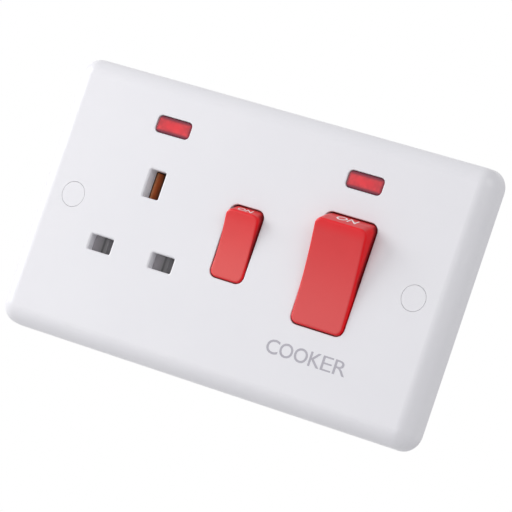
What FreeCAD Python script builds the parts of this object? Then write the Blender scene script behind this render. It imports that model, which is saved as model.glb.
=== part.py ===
import FreeCAD, Part
import math
import os
import re

import Sketcher

# Cooker control unit: a two-gang wall plate with a switched socket on the left and a double-pole
# cooker switch on the right. X runs along the plate, Z up and Y into the wall. The origin is the
# middle of the plate's back rim, so the wall is the plane Y = 0 and the face looks along -Y.
# Both rockers rest in their ON position.

SIZES = {
    # front plate
    "plate_width": 147.0,
    "plate_height": 86.5,
    "plate_depth": 8.0,
    "plate_corner": 6.0,
    "plate_draft": 5.0,
    "plate_edge": 5.2,
    "face_wall": 3.0,
    "side_wall": 2.8,
    # fixing screws and their caps
    "fixing_centres": 120.6,
    "fixing_hole": 3.9,
    "pillar_diameter": 10.0,
    "head_recess": 7.0,
    "head_recess_depth": 4.4,
    "cap_diameter": 7.8,
    "cap_thickness": 1.2,
    "cap_gap": 0.12,
    "cap_skirt": 0.7,
    "cap_skirt_length": 0.8,
    # socket slots
    "socket_x": -34.3,
    "pin_row_z": -12.2,
    "pin_pitch": 22.2,
    "pin_slot_width": 8.0,
    "pin_slot_height": 4.9,
    "earth_slot_width": 5.6,
    "earth_slot_height": 8.8,
    "slot_corner": 0.5,
    "slot_edge": 0.6,
    "earth_collar": 1.4,
    "earth_collar_height": 1.3,
    # neon indicators
    "cooker_neon_x": 33.35,
    "neon_z": 28.4,
    "neon_width": 12.3,
    "neon_height": 5.5,
    "neon_corner": 1.5,
    "lens_gap": 0.12,
    "lens_recess": 0.25,
    "lens_edge": 0.4,
    "lens_wall": 0.9,
    "lens_flange": 0.7,
    "lens_flange_thickness": 1.0,
    "lens_room": 0.15,
    "lamp_diameter": 2.8,
    "lamp_length": 8.2,
    "lamp_nose": 0.8,
    "lead_diameter": 0.6,
    "lead_length": 5.0,
    "lead_pitch": 5.4,
    "resistor_diameter": 2.2,
    # rocker openings and rockers
    "socket_switch_x": -0.68,
    "cooker_switch_x": 33.25,
    "socket_opening_width": 12.0,
    "socket_opening_height": 23.2,
    "cooker_opening_width": 18.3,
    "cooker_opening_height": 35.2,
    "opening_corner": 2.6,
    "opening_edge": 0.3,
    "opening_lip": 1.0,
    "opening_relief": 0.5,
    "rocker_side_gap": 0.3,
    "rocker_end_gap": 0.3,
    "rocker_end_height": 5.0,
    "rocker_flange": 1.0,
    "rocker_flange_thickness": 1.4,
    "rocker_flange_gap": 0.3,
    "rocker_dish": 1.0,
    "rocker_corner": 2.3,
    "rocker_edge": 0.8,
    "rocker_wall": 1.8,
    "socket_rocker_height": 6.6,
    "cooker_rocker_height": 8.25,
    "socket_rocker_lean": 1.15,
    "cooker_rocker_lean": 1.65,
    "socket_tilt": 7.5,
    "cooker_tilt": 9.75,
    "pivot_below_face": 1.8,
    "trunnion_diameter": 3.0,
    "trunnion_end_gap": 0.3,
    "bearing_gap": 0.08,
    "ear_thickness": 2.0,
    "ear_width": 7.0,
    "hub_width": 8.4,
    "hub_draft": 0.4,
    "hub_depth": 7.5,
    # plungers that snap the contacts over
    "plunger_diameter": 3.0,
    "plunger_gap": 0.06,
    "plunger_reach": 10.0,
    "plunger_length": 6.5,
    "plunger_play": 0.15,
    "spring_seat": 1.5,
    "spring_wire": 0.4,
    "spring_play": 0.1,
    "spring_pitch": 1.0,
    # moving contacts
    "lever_thickness": 1.6,
    "lever_width": 5.0,
    "lever_tilt": 9.75,
    "lever_tail": 7.0,
    "contact_arm": 9.5,
    "rivet_diameter": 3.6,
    "rivet_height": 0.6,
    "fulcrum_radius": 0.8,
    "fulcrum_drop": 0.3,
    "fulcrum_gap": 0.08,
    "contact_gap": 0.12,
    # bars, terminals and their screws
    "pole_pitch": 10.0,
    "terminal_pitch": 14.0,
    "earth_bore_pitch": 12.0,
    "bar_thickness": 1.5,
    "bar_width": 6.0,
    "busbar_width": 3.2,
    "busbar_step": 3.0,
    "busbar_air": 1.2,
    "terminal_width": 11.0,
    "terminal_length": 10.0,
    "terminal_bore": 6.0,
    "terminal_floor": 0.5,
    "terminal_roof": 3.4,
    "terminal_setback": 1.5,
    "terminal_screw": 5.0,
    "terminal_screw_gap": 0.06,
    "terminal_screw_lift": 0.3,
    "terminal_screw_proud": 0.5,
    "driver_slot": 0.9,
    "driver_slot_depth": 1.1,
    # socket contacts
    "contact_setback": 9.6,
    "contact_sheet": 0.8,
    "contact_grip": 3.4,
    "contact_flare": 1.0,
    "contact_flare_length": 2.5,
    "contact_width": 7.0,
    "earth_contact_width": 8.4,
    "earth_contact_gap": 0.9,
    "earth_pin_length": 22.7,
    "pin_end_room": 0.7,
    # shutter
    "shutter_overlap": 0.3,
    "shutter_rail": 1.5,
    "shutter_play": 0.2,
    "shutter_land": 5.2,
    "shutter_ramp_floor": 1.0,
    "shutter_travel": 8.0,
    "shutter_rib": 1.2,
    "shutter_post": 1.4,
    "shutter_spring_radius": 1.2,
    "shutter_spring_pitch": 1.9,
    # rear housing
    "housing_wall": 2.0,
    "housing_corner": 4.0,
    "housing_side_room": 2.3,
    "housing_step": 5.0,
    "tower_wall": 1.8,
    "tower_floor": 1.6,
    "terminal_fit": 0.1,
    "partition_air": 0.4,
    "deck_depth": 2.5,
    "post_diameter": 5.6,
    "post_inset": 3.6,
    "housing_screw": 2.8,
    "housing_screw_gap": 0.05,
    "housing_screw_head": 5.0,
    "housing_screw_head_height": 1.8,
    "housing_screw_grip": 4.0,
}

# Places that follow from the sizes, from the face back to the rear of the housing and then along X and Z.
PLACES = {
    "face_y": "-plate_depth",
    "inner_y": "face_wall - plate_depth",
    "pivot_y": "inner_y + pivot_below_face",
    "seat_y": "pivot_y + trunnion_diameter / 2 + bearing_gap",
    "rib_height": "seat_y - inner_y",
    "lever_y": "pivot_y + plunger_reach + plunger_play",
    "fulcrum_y": "lever_y + lever_thickness + fulcrum_drop",
    "rivet_swing": "(contact_arm + rivet_diameter / 2) * sin(lever_tilt)",
    "rivet_drop": "(rivet_height - fulcrum_drop) * cos(lever_tilt)",
    "stop_y": "fulcrum_y + rivet_swing + rivet_drop + contact_gap",
    "bar_y": "stop_y + rivet_height",
    "bar_back_y": "bar_y + bar_thickness",
    "bore_y": "bar_back_y + terminal_floor + terminal_bore / 2",
    "block_back_y": "bore_y + terminal_bore / 2 + terminal_roof",
    "rear_y": "block_back_y + terminal_screw_proud",
    "screw_seat_y": "rear_y - housing_screw_head_height",
    "contact_y": "face_y + contact_setback",
    "earth_contact_y": "inner_y + earth_collar_height + earth_contact_gap",
    "earth_base_y": "face_y + earth_pin_length + pin_end_room",
    "housing_half_x": "fixing_centres / 2 - pillar_diameter / 2 - housing_side_room",
    "housing_half_z": "neon_z + neon_height / 2 + lens_flange + lens_room + housing_wall",
    "terminal_z": "housing_half_z - terminal_setback - terminal_length",
    "post_x": "housing_half_x - post_inset",
    "post_z": "housing_half_z - post_inset",
    "line_x": "socket_x + pin_pitch / 2",
    "neutral_x": "socket_x - pin_pitch / 2",
    "earth_z": "pin_row_z + pin_pitch",
    "neutral_pole_x": "cooker_switch_x - pole_pitch / 2",
    "line_pole_x": "cooker_switch_x + pole_pitch / 2",
    "neutral_block_x": "cooker_switch_x - terminal_pitch / 2",
    "line_block_x": "cooker_switch_x + terminal_pitch / 2",
    "contact_half": "contact_grip / 2 + contact_sheet",
    "shutter_half": "pin_slot_height / 2 + shutter_overlap",
    "shutter_rail_z": "shutter_half + shutter_rail",
    "wedge_half": "pin_slot_width / 2 + shutter_overlap",
    "post_near_x": "neutral_x + wedge_half + shutter_overlap",
    "post_far_x": "post_near_x + shutter_post",
}

ORIGIN = -1
START = 1
END = 2
CENTRE = 3

doc = FreeCAD.newDocument("cooker_control_unit")
sheet = doc.addObject("Spreadsheet::Sheet", "Sizes")
for row, (alias, number) in enumerate(SIZES.items(), start=1):
    sheet.set("A%d" % row, alias)
    sheet.set("B%d" % row, str(number))
    sheet.setAlias("B%d" % row, alias)
doc.recompute()

pieces = []


def formula(text):
    """Spell out the named places in a formula and point each size at its cell."""

    def spell(match):
        word = match.group()
        if word in PLACES:
            return "(" + formula(PLACES[word]) + ")"
        if word in SIZES:
            return "Sizes." + word
        return word

    return re.sub(r"[a-z][a-z0-9_]*", spell, text)


def bind(thing, prop, text):
    thing.setExpression(prop, formula(text))


def place(thing, x="0", y="0", z="0"):
    bind(thing, "Placement.Base.x", x)
    bind(thing, "Placement.Base.y", y)
    bind(thing, "Placement.Base.z", z)


def tilt(thing, angle):
    """Turn a piece about the X axis through its own origin."""
    thing.Placement = FreeCAD.Placement(FreeCAD.Vector(), FreeCAD.Rotation(FreeCAD.Vector(1, 0, 0), 1))
    bind(thing, "Placement.Rotation.Angle", angle)


def new_body(label):
    body = doc.addObject("PartDesign::Body", label)
    body.Label = label
    pieces.append(body)
    return body


def new_sketch(body, name, role, level="0"):
    """A sketch on one of the body's planes: XZ looks along -Y, YZ along +X and XY along +Z."""
    sketch = body.newObject("Sketcher::SketchObject", name)
    plane = [feature for feature in body.Origin.OriginFeatures if feature.Role == role][0]
    sketch.AttachmentSupport = (plane, [""])
    sketch.MapMode = "FlatFace"
    offset = "-(%s)" % level if role == "XZ_Plane" else level
    bind(sketch, "AttachmentOffset.Base.z", offset)
    return sketch


def dimension(sketch, kind, where, number, text):
    index = sketch.addConstraint(Sketcher.Constraint(kind, *where, number))
    bind(sketch, "Constraints[%d]" % index, text)


def pin_point(sketch, edge, end, across, up):
    """Hold one end of a sketched edge at a place given by two formulas."""
    point = sketch.getPoint(edge, end)
    dimension(sketch, "DistanceX", (ORIGIN, START, edge, end), point.x, across)
    dimension(sketch, "DistanceY", (ORIGIN, START, edge, end), point.y, up)


def polygon(sketch, points):
    """A closed straight-sided outline with each corner held by its two formulas."""
    step = 2 * math.pi / len(points)
    rough = [FreeCAD.Vector(10 * math.cos(i * step), 10 * math.sin(i * step), 0) for i in range(len(points))]
    edges = []
    for index, corner in enumerate(rough):
        following = rough[(index + 1) % len(rough)]
        edges.append(sketch.addGeometry(Part.LineSegment(corner, following), False))
    for index, edge in enumerate(edges):
        following = edges[(index + 1) % len(edges)]
        sketch.addConstraint(Sketcher.Constraint("Coincident", edge, END, following, START))
    for edge, (across, up) in zip(edges, points):
        pin_point(sketch, edge, START, across, up)
    return edges


def rectangle(sketch, low_x, high_x, low_y, high_y):
    return polygon(sketch, ((low_x, low_y), (high_x, low_y), (high_x, high_y), (low_x, high_y)))


def circle(sketch, across, up, diameter):
    ring = sketch.addGeometry(Part.Circle(FreeCAD.Vector(5, 5, 0), FreeCAD.Vector(0, 0, 1), 2), False)
    dimension(sketch, "Diameter", (ring,), 4, diameter)
    dimension(sketch, "DistanceX", (ORIGIN, START, ring, CENTRE), 5, across)
    dimension(sketch, "DistanceY", (ORIGIN, START, ring, CENTRE), 5, up)


def rounded(sketch, across, up, width, height, corner):
    """A rectangle with round corners about a centre."""
    half_x, half_y, radius = 10, 6, 2
    flat_x, flat_y = half_x - radius, half_y - radius
    vector = FreeCAD.Vector
    axis = vector(0, 0, 1)
    sides = (
        Part.LineSegment(vector(-flat_x, -half_y), vector(flat_x, -half_y)),
        Part.LineSegment(vector(half_x, -flat_y), vector(half_x, flat_y)),
        Part.LineSegment(vector(flat_x, half_y), vector(-flat_x, half_y)),
        Part.LineSegment(vector(-half_x, flat_y), vector(-half_x, -flat_y)),
    )
    centres = ((flat_x, -flat_y), (flat_x, flat_y), (-flat_x, flat_y), (-flat_x, -flat_y))
    edges = []
    for turn, (side, (x, y)) in enumerate(zip(sides, centres)):
        start = (turn - 1) * math.pi / 2
        arc = Part.ArcOfCircle(Part.Circle(vector(x, y), axis, radius), start, start + math.pi / 2)
        edges.append(sketch.addGeometry(side, False))
        edges.append(sketch.addGeometry(arc, False))
    for index, edge in enumerate(edges):
        following = edges[(index + 1) % len(edges)]
        sketch.addConstraint(Sketcher.Constraint("Tangent", edge, END, following, START))
    bottom, right, top, left = edges[0], edges[2], edges[4], edges[6]
    for edge in (bottom, top):
        sketch.addConstraint(Sketcher.Constraint("Horizontal", edge))
    for edge in (right, left):
        sketch.addConstraint(Sketcher.Constraint("Vertical", edge))
    for arc in (edges[3], edges[5], edges[7]):
        sketch.addConstraint(Sketcher.Constraint("Equal", edges[1], arc))
    dimension(sketch, "Radius", (edges[1],), radius, corner)
    dimension(sketch, "DistanceX", (left, START, right, START), 2 * half_x, width)
    dimension(sketch, "DistanceY", (bottom, START, top, START), 2 * half_y, height)
    dimension(sketch, "DistanceX", (ORIGIN, START, left, START), -half_x, "%s - (%s) / 2" % (across, width))
    dimension(sketch, "DistanceY", (ORIGIN, START, bottom, START), -half_y, "%s - (%s) / 2" % (up, height))


def open_slot(sketch, across, up, mouth, radius):
    """A U-shaped notch: a half round about a centre, run out straight to its mouth along the sketch's x."""
    vector = FreeCAD.Vector
    arc = Part.ArcOfCircle(Part.Circle(vector(), vector(0, 0, 1), 2), math.pi / 2, 3 * math.pi / 2)
    edges = [
        sketch.addGeometry(arc, False),
        sketch.addGeometry(Part.LineSegment(vector(0, -2, 0), vector(5, -2, 0)), False),
        sketch.addGeometry(Part.LineSegment(vector(5, -2, 0), vector(5, 2, 0)), False),
        sketch.addGeometry(Part.LineSegment(vector(5, 2, 0), vector(0, 2, 0)), False),
    ]
    round_end, low, end, high = edges
    sketch.addConstraint(Sketcher.Constraint("Tangent", round_end, END, low, START))
    sketch.addConstraint(Sketcher.Constraint("Coincident", low, END, end, START))
    sketch.addConstraint(Sketcher.Constraint("Coincident", end, END, high, START))
    sketch.addConstraint(Sketcher.Constraint("Tangent", high, END, round_end, START))
    sketch.addConstraint(Sketcher.Constraint("Horizontal", low))
    sketch.addConstraint(Sketcher.Constraint("Vertical", end))
    dimension(sketch, "Radius", (round_end,), 2, radius)
    dimension(sketch, "DistanceX", (ORIGIN, START, round_end, CENTRE), 0, across)
    dimension(sketch, "DistanceY", (ORIGIN, START, round_end, CENTRE), 0, up)
    dimension(sketch, "DistanceX", (ORIGIN, START, end, START), 5, mouth)


def pad(body, name, sketch, length, taper=None):
    """Grow a sketch along its plane's normal."""
    feature = body.newObject("PartDesign::Pad", name)
    feature.Profile = sketch
    bind(feature, "Length", length)
    if taper:
        bind(feature, "TaperAngle", taper)
    doc.recompute()
    return feature


def pocket(body, name, sketch, length):
    """Cut a sketch against its plane's normal, and make sure that it took material away."""
    before = body.Shape.Volume
    feature = body.newObject("PartDesign::Pocket", name)
    feature.Profile = sketch
    bind(feature, "Length", length)
    doc.recompute()
    if body.Shape.Volume >= before:
        raise RuntimeError("%s cuts nothing" % name)
    return feature


def fillet(body, name, base, edges, radius):
    feature = body.newObject("PartDesign::Fillet", name)
    feature.Base = (base, edges)
    bind(feature, "Radius", radius)
    doc.recompute()
    return feature


def revolve(body, name, sketch, axis):
    feature = body.newObject("PartDesign::Revolution", name)
    feature.Profile = sketch
    feature.ReferenceAxis = (sketch, [axis])
    feature.Angle = 360
    doc.recompute()
    return feature


def edge_names(shape, wanted):
    return ["Edge%d" % (i + 1) for i, edge in enumerate(shape.Edges) if wanted(edge)]


def cylinder(name, diameter, length, x, y, z):
    """A round bar along Y, starting at the given place."""
    bar = doc.addObject("Part::Cylinder", name)
    bind(bar, "Radius", "(%s) / 2" % diameter)
    bind(bar, "Height", length)
    bar.Placement = FreeCAD.Placement(FreeCAD.Vector(), FreeCAD.Rotation(FreeCAD.Vector(1, 0, 0), -90))
    place(bar, x, y, z)
    return bar


def joined(name, parts):
    whole = doc.addObject("Part::MultiFuse", name)
    whole.Shapes = parts
    return whole


def group(label, parts):
    """Like pieces that share one name, each a solid of its own."""
    whole = doc.addObject("Part::Compound", label)
    whole.Label = label
    whole.Links = parts
    pieces.append(whole)


def signed(sign, text):
    return "%s(%s)" % ("-" if sign < 0 else "", text)


CORNERS = ((-1, -1), (1, -1), (1, 1), (-1, 1))
SIDES = (("left", -1), ("right", 1))
SWITCHES = (
    ("socket", "socket_switch_x", "socket_opening_width", "socket_opening_height"),
    ("cooker", "cooker_switch_x", "cooker_opening_width", "cooker_opening_height"),
)
NEONS = (("socket", "socket_x"), ("cooker", "cooker_neon_x"))


# Front plate
def plate_shell(body):
    """The tapered shell with its rounded front edge, open at the back."""
    sketch = new_sketch(body, "plate_outline", "XZ_Plane")
    rounded(sketch, "0", "0", "plate_width", "plate_height", "plate_corner")
    block = pad(body, "plate_block", sketch, "plate_depth", "-plate_draft")
    front = block.Shape.BoundBox.YMin
    rim = edge_names(block.Shape, lambda edge: abs(edge.BoundBox.YMax - front) < 1e-4)
    fillet(body, "plate_front_edge", block, rim, "plate_edge")
    sketch = new_sketch(body, "plate_hollow_outline", "XZ_Plane", "inner_y")
    width, height = "plate_width - 2 * side_wall", "plate_height - 2 * side_wall"
    rounded(sketch, "0", "0", width, height, "plate_corner - side_wall")
    pocket(body, "plate_hollow", sketch, "-inner_y")


def plate_ribs(body):
    """What stands on the back of the face: pillars, bosses, the housing's rib and the shutter's guides."""
    sketch = new_sketch(body, "pillars", "XZ_Plane")
    for _, side in SIDES:
        circle(sketch, signed(side, "fixing_centres / 2"), "0", "pillar_diameter")
    pad(body, "fixing_pillars", sketch, "-inner_y")
    sketch = new_sketch(body, "locating_outline", "XZ_Plane", "seat_y")
    width, height, wall = "2 * housing_half_x", "2 * housing_half_z", "2 * housing_wall"
    inner_width, inner_height = "%s - %s" % (width, wall), "%s - %s" % (height, wall)
    rounded(sketch, "0", "0", width, height, "housing_corner")
    rounded(sketch, "0", "0", inner_width, inner_height, "housing_corner - housing_wall")
    pad(body, "locating_rib", sketch, "rib_height")
    sketch = new_sketch(body, "bosses", "XZ_Plane", "seat_y")
    for x, z in CORNERS:
        circle(sketch, signed(x, "post_x"), signed(z, "post_z"), "post_diameter")
    pad(body, "housing_bosses", sketch, "rib_height")
    sketch = new_sketch(body, "guides", "XZ_Plane", "seat_y")
    low, high = "neutral_x - wedge_half - shutter_travel", "line_x + wedge_half"
    near, far = "shutter_rail_z + shutter_play", "shutter_rail_z + shutter_play + shutter_rib"
    rectangle(sketch, low, high, "pin_row_z + %s" % near, "pin_row_z + %s" % far)
    rectangle(sketch, low, high, "pin_row_z - (%s)" % far, "pin_row_z - (%s)" % near)
    pad(body, "shutter_guides", sketch, "rib_height")
    sketch = new_sketch(body, "shutter_way_outline", "XZ_Plane", "inner_y")
    rectangle(sketch, low, "neutral_x", "pin_row_z - (%s)" % near, "pin_row_z + %s" % near)
    pocket(body, "shutter_way", sketch, "rib_height")
    sketch = new_sketch(body, "spring_post_outline", "XZ_Plane", "seat_y - shutter_play")
    reach = "shutter_spring_radius"
    rectangle(sketch, "post_near_x", "post_far_x", "pin_row_z - %s" % reach, "pin_row_z + %s" % reach)
    pad(body, "spring_post", sketch, "rib_height - shutter_play")
    sketch = new_sketch(body, "collar", "XZ_Plane", "inner_y + earth_collar_height")
    width, height = "earth_slot_width + 2 * earth_collar", "earth_slot_height + 2 * earth_collar"
    rounded(sketch, "socket_x", "earth_z", width, height, "earth_collar")
    pad(body, "earth_collar", sketch, "earth_collar_height")


def rocker_bearing(body, name, switch_x, opening_width):
    """A bar behind the face with a round-bottomed notch, which the opening then splits into two ears."""
    half, length = "(%s / 2 + ear_thickness)" % opening_width, "%s + 2 * ear_thickness" % opening_width
    sketch = new_sketch(body, name + "_ears_outline", "YZ_Plane", "%s - %s" % (switch_x, half))
    rectangle(sketch, "inner_y", "seat_y", "-ear_width / 2", "ear_width / 2")
    pad(body, name + "_ears", sketch, length)
    sketch = new_sketch(body, name + "_notch_outline", "YZ_Plane", "%s + %s" % (switch_x, half))
    open_slot(sketch, "pivot_y", "0", "seat_y", "trunnion_diameter / 2 + bearing_gap")
    pocket(body, name + "_notch", sketch, length)


def front_holes(shape):
    """Wires of the holes in the flat front face."""
    front = shape.BoundBox.YMin
    face = max((f for f in shape.Faces if f.BoundBox.YMax - front < 1e-4), key=lambda f: f.Area)
    return [wire for wire in face.Wires if not wire.isSame(face.OuterWire)]


def round_rims(body, name, base, holes, radius):
    edges = [edge for wire in holes for edge in wire.Edges]
    rims = edge_names(base.Shape, lambda edge: any(edge.isSame(other) for other in edges))
    fillet(body, name, base, rims, radius)


def plate_openings(body):
    """Everything that goes through the face."""
    sketch = new_sketch(body, "switch_openings_outline", "XZ_Plane", "face_y")
    for _, x, width, height in SWITCHES:
        rounded(sketch, x, "0", width, height, "opening_corner")
    pocket(body, "switch_openings", sketch, "plate_depth")
    sketch = new_sketch(body, "neon_windows_outline", "XZ_Plane", "face_y")
    for _, x in NEONS:
        rounded(sketch, x, "neon_z", "neon_width", "neon_height", "neon_corner")
    windows = pocket(body, "neon_windows", sketch, "face_wall")
    round_rims(body, "opening_edges", windows, front_holes(windows.Shape), "opening_edge")
    rounded_before = [wire.BoundBox.Center for wire in front_holes(body.Shape)]
    sketch = new_sketch(body, "pin_slots_outline", "XZ_Plane", "face_y")
    for x in ("line_x", "neutral_x"):
        rounded(sketch, x, "pin_row_z", "pin_slot_width", "pin_slot_height", "slot_corner")
    rounded(sketch, "socket_x", "earth_z", "earth_slot_width", "earth_slot_height", "slot_corner")
    slots = pocket(body, "pin_slots", sketch, "plate_depth")
    sharp = [
        wire
        for wire in front_holes(slots.Shape)
        if all(wire.BoundBox.Center.distanceToPoint(known) > 1 for known in rounded_before)
    ]
    round_rims(body, "slot_edges", slots, sharp, "slot_edge")
    sketch = new_sketch(body, "opening_reliefs_outline", "XZ_Plane", "face_y + opening_lip")
    for _, x, width, height in SWITCHES:
        near, far = "(ear_width / 2 + opening_relief)", "(%s / 2 + opening_relief)" % height
        relief_width = "%s + 2 * opening_relief" % width
        for side in (-1, 1):
            middle = signed(side, "(%s + %s) / 2" % (near, far))
            rounded(sketch, x, middle, relief_width, "%s - %s" % (far, near), "opening_corner")
    pocket(body, "opening_reliefs", sketch, "face_wall - opening_lip")
    bores = (
        ("fixing_holes", "fixing_hole", "plate_depth"),
        ("head_recesses", "head_recess", "head_recess_depth"),
        ("cap_recesses", "cap_diameter + 2 * cap_gap", "cap_thickness"),
    )
    for name, diameter, depth in bores:
        sketch = new_sketch(body, name + "_outline", "XZ_Plane", "face_y")
        for _, side in SIDES:
            circle(sketch, signed(side, "fixing_centres / 2"), "0", diameter)
        pocket(body, name, sketch, depth)
    sketch = new_sketch(body, "boss_holes_outline", "XZ_Plane", "seat_y - housing_screw_grip")
    for x, z in CORNERS:
        circle(sketch, signed(x, "post_x"), signed(z, "post_z"), "housing_screw + 2 * housing_screw_gap")
    pocket(body, "boss_holes", sketch, "housing_screw_grip")


def front_plate():
    body = new_body("front_plate")
    plate_shell(body)
    plate_ribs(body)
    for name, x, width, _ in SWITCHES:
        rocker_bearing(body, name, x, width)
    plate_openings(body)


# Screw caps
def screw_cap(label, side):
    """A flush disc with a thin skirt that pushes into the screw-head recess."""
    body = new_body(label)
    sketch = new_sketch(body, label + "_disc_outline", "XZ_Plane", "cap_thickness")
    circle(sketch, "0", "0", "cap_diameter")
    pad(body, label + "_disc", sketch, "cap_thickness")
    sketch = new_sketch(body, label + "_skirt_outline", "XZ_Plane", "cap_thickness + cap_skirt_length")
    outer = "head_recess - 2 * cap_gap"
    circle(sketch, "0", "0", outer)
    circle(sketch, "0", "0", "%s - 2 * cap_skirt" % outer)
    pad(body, label + "_skirt", sketch, "cap_skirt_length")
    place(body, signed(side, "fixing_centres / 2"), "face_y")


# Neon indicators
def neon_lens(label, x):
    """A flanged window, hollow at the back for its lamp."""
    body = new_body(label)
    sketch = new_sketch(body, label + "_window_outline", "XZ_Plane", "inner_y")
    width, height = "neon_width - 2 * lens_gap", "neon_height - 2 * lens_gap"
    rounded(sketch, "0", "0", width, height, "neon_corner - lens_gap")
    window = pad(body, label + "_window", sketch, "face_wall - lens_recess")
    front = window.Shape.BoundBox.YMin
    rim = edge_names(window.Shape, lambda edge: abs(edge.BoundBox.YMax - front) < 1e-4)
    fillet(body, label + "_edge", window, rim, "lens_edge")
    sketch = new_sketch(body, label + "_flange_outline", "XZ_Plane", "inner_y + lens_flange_thickness")
    width, height = "neon_width + 2 * lens_flange", "neon_height + 2 * lens_flange"
    rounded(sketch, "0", "0", width, height, "neon_corner")
    pad(body, label + "_flange", sketch, "lens_flange_thickness")
    sketch = new_sketch(body, label + "_hollow_outline", "XZ_Plane", "face_y + lens_recess + lens_wall")
    inset = "2 * (lens_gap + lens_wall)"
    rounded(sketch, "0", "0", "neon_width - " + inset, "neon_height - " + inset, "neon_corner / 3")
    pocket(body, label + "_hollow", sketch, "plate_depth")
    place(body, x, "0", "neon_z")


def neon_lamp(label, x):
    """A small glass tube along X with a rounded nose at each end and two leads to the back."""
    body = new_body(label)
    sketch = new_sketch(body, label + "_half", "XY_Plane")
    half, nose, radius = "lamp_length / 2", "lamp_nose", "lamp_diameter / 2"
    points = (
        ("-(%s)" % half, "0"),
        (half, "0"),
        (half, "%s - %s" % (radius, nose)),
        ("%s - %s" % (half, nose), radius),
        ("%s - %s" % (nose, half), radius),
        ("-(%s)" % half, "%s - %s" % (radius, nose)),
    )
    polygon(sketch, points)
    revolve(body, label + "_tube", sketch, "H_Axis")
    sketch = new_sketch(body, label + "_lead_outline", "XZ_Plane", "lead_length + lamp_diameter / 2")
    for _, side in SIDES:
        circle(sketch, signed(side, "lead_pitch / 2"), "0", "lead_diameter")
    pad(body, label + "_leads", sketch, "lead_length + lamp_diameter / 2")
    place(body, x, "inner_y", "neon_z")


def neon_resistors():
    """One small resistor across the leads behind each lamp."""
    bars = []
    for name, x in NEONS:
        bar = doc.addObject("Part::Cylinder", name + "_resistor")
        bind(bar, "Radius", "resistor_diameter / 2")
        bind(bar, "Height", "lead_pitch + 2 * lead_diameter")
        bar.Placement = FreeCAD.Placement(FreeCAD.Vector(), FreeCAD.Rotation(FreeCAD.Vector(0, 1, 0), 90))
        back = "inner_y + lamp_diameter / 2 + lead_length + resistor_diameter / 2"
        place(bar, "%s - lead_pitch / 2 - lead_diameter" % x, back, "neon_z")
        bars.append(bar)
    group("neon_resistors", bars)


# Rockers, drawn level about their pivot and then tipped to ON
def rocker(label, x, opening_width, opening_height, height, lean, angle, bore_places):
    """A dished key on a hub. Its ends curve about the pivot, and a flange behind the face is its stop."""
    body = new_body(label)
    width = "%s - 2 * rocker_side_gap" % opening_width
    lip_depth = "(face_wall + pivot_below_face - opening_lip)"
    end = "(sqrt((%s / 2) ^ 2 + %s ^ 2) - rocker_end_gap)" % (opening_height, lip_depth)
    front = "%s / 2 - %s" % (opening_height, lean)
    rises = ("rocker_end_height", "rocker_end_height / 2")
    curve = [("-(%s)" % rise, "sqrt(%s ^ 2 - (%s) ^ 2)" % (end, rise)) for rise in rises]
    flange_end = "(%s + rocker_flange)" % end
    stop = "(%s * sin(%s) - pivot_below_face + rocker_flange_gap) / cos(%s)" % (flange_end, angle, angle)
    back = "(%s + rocker_flange_thickness)" % stop
    sketch = new_sketch(body, label + "_profile", "YZ_Plane", "-(%s) / 2" % width)
    foot = [("0", end), (back, end), (back, "hub_width / 2"), ("hub_depth", "hub_width / 2 - hub_draft")]
    upper = [("-%s" % height, front)] + curve + foot
    lower = [(across, "-(%s)" % up) for across, up in reversed(upper)]
    polygon(sketch, upper + lower)
    block = pad(body, label + "_block", sketch, width)
    side = block.Shape.BoundBox.XMax
    reach = 0.8 * block.Shape.BoundBox.ZMax
    corners = edge_names(
        block.Shape,
        lambda edge: abs(abs(edge.CenterOfMass.x) - side) < 1e-4 and abs(edge.CenterOfMass.z) > reach,
    )
    fillet(body, label + "_corners", block, corners, "rocker_corner")
    rocker_dish(body, label, width, height, front)
    sketch = new_sketch(body, label + "_flange_outline", "XZ_Plane", back)
    rounded(sketch, "0", "0", width, "2 * " + flange_end, "rocker_corner")
    pad(body, label + "_flange", sketch, "rocker_flange_thickness")
    rocker_inside(body, label, width, height, end)
    half = "(%s / 2 + ear_thickness - trunnion_end_gap)" % opening_width
    sketch = new_sketch(body, label + "_trunnion_outline", "YZ_Plane", "-" + half)
    circle(sketch, "0", "0", "trunnion_diameter")
    pad(body, label + "_trunnions", sketch, "2 * " + half)
    sketch = new_sketch(body, label + "_bores_outline", "XZ_Plane", "-spring_seat")
    for bore_x in bore_places:
        circle(sketch, bore_x, "0", "plunger_diameter + 2 * plunger_gap")
    pocket(body, label + "_bores", sketch, "spring_seat + hub_depth")
    tilt(body, angle)
    place(body, x, "pivot_y")


def rocker_dish(body, label, width, height, front):
    """Hollow the front face along a long arc, then soften its edge."""
    sketch = new_sketch(body, label + "_dish_outline", "YZ_Plane", width)
    radius = "(((%s) ^ 2 + rocker_dish ^ 2) / (2 * rocker_dish))" % front
    circle(sketch, "rocker_dish - %s - %s" % (height, radius), "0", "2 * " + radius)
    dish = pocket(body, label + "_dish", sketch, "2 * (%s)" % width)
    faces = [face for face in dish.Shape.Faces if face.Surface.TypeId == "Part::GeomCylinder"]
    hollow = max(faces, key=lambda face: face.Surface.Radius)
    rim = edge_names(dish.Shape, lambda edge: any(edge.isSame(other) for other in hollow.Edges))
    fillet(body, label + "_edge", dish, rim, "rocker_edge")


def rocker_inside(body, label, width, height, end):
    """Two hollows under the face, one each side of the hub."""
    level = "rocker_dish + rocker_wall - %s" % height
    sketch = new_sketch(body, label + "_hollow_outline", "XZ_Plane", level)
    half = "(%s) / 2 - rocker_wall" % width
    near, far = "hub_width / 2 + rocker_wall", "%s - 2 * rocker_wall" % end
    rectangle(sketch, "-(%s)" % half, half, near, far)
    rectangle(sketch, "-(%s)" % half, half, "-(%s)" % far, "-(%s)" % near)
    pocket(body, label + "_hollows", sketch, "%s + hub_depth" % height)


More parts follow.
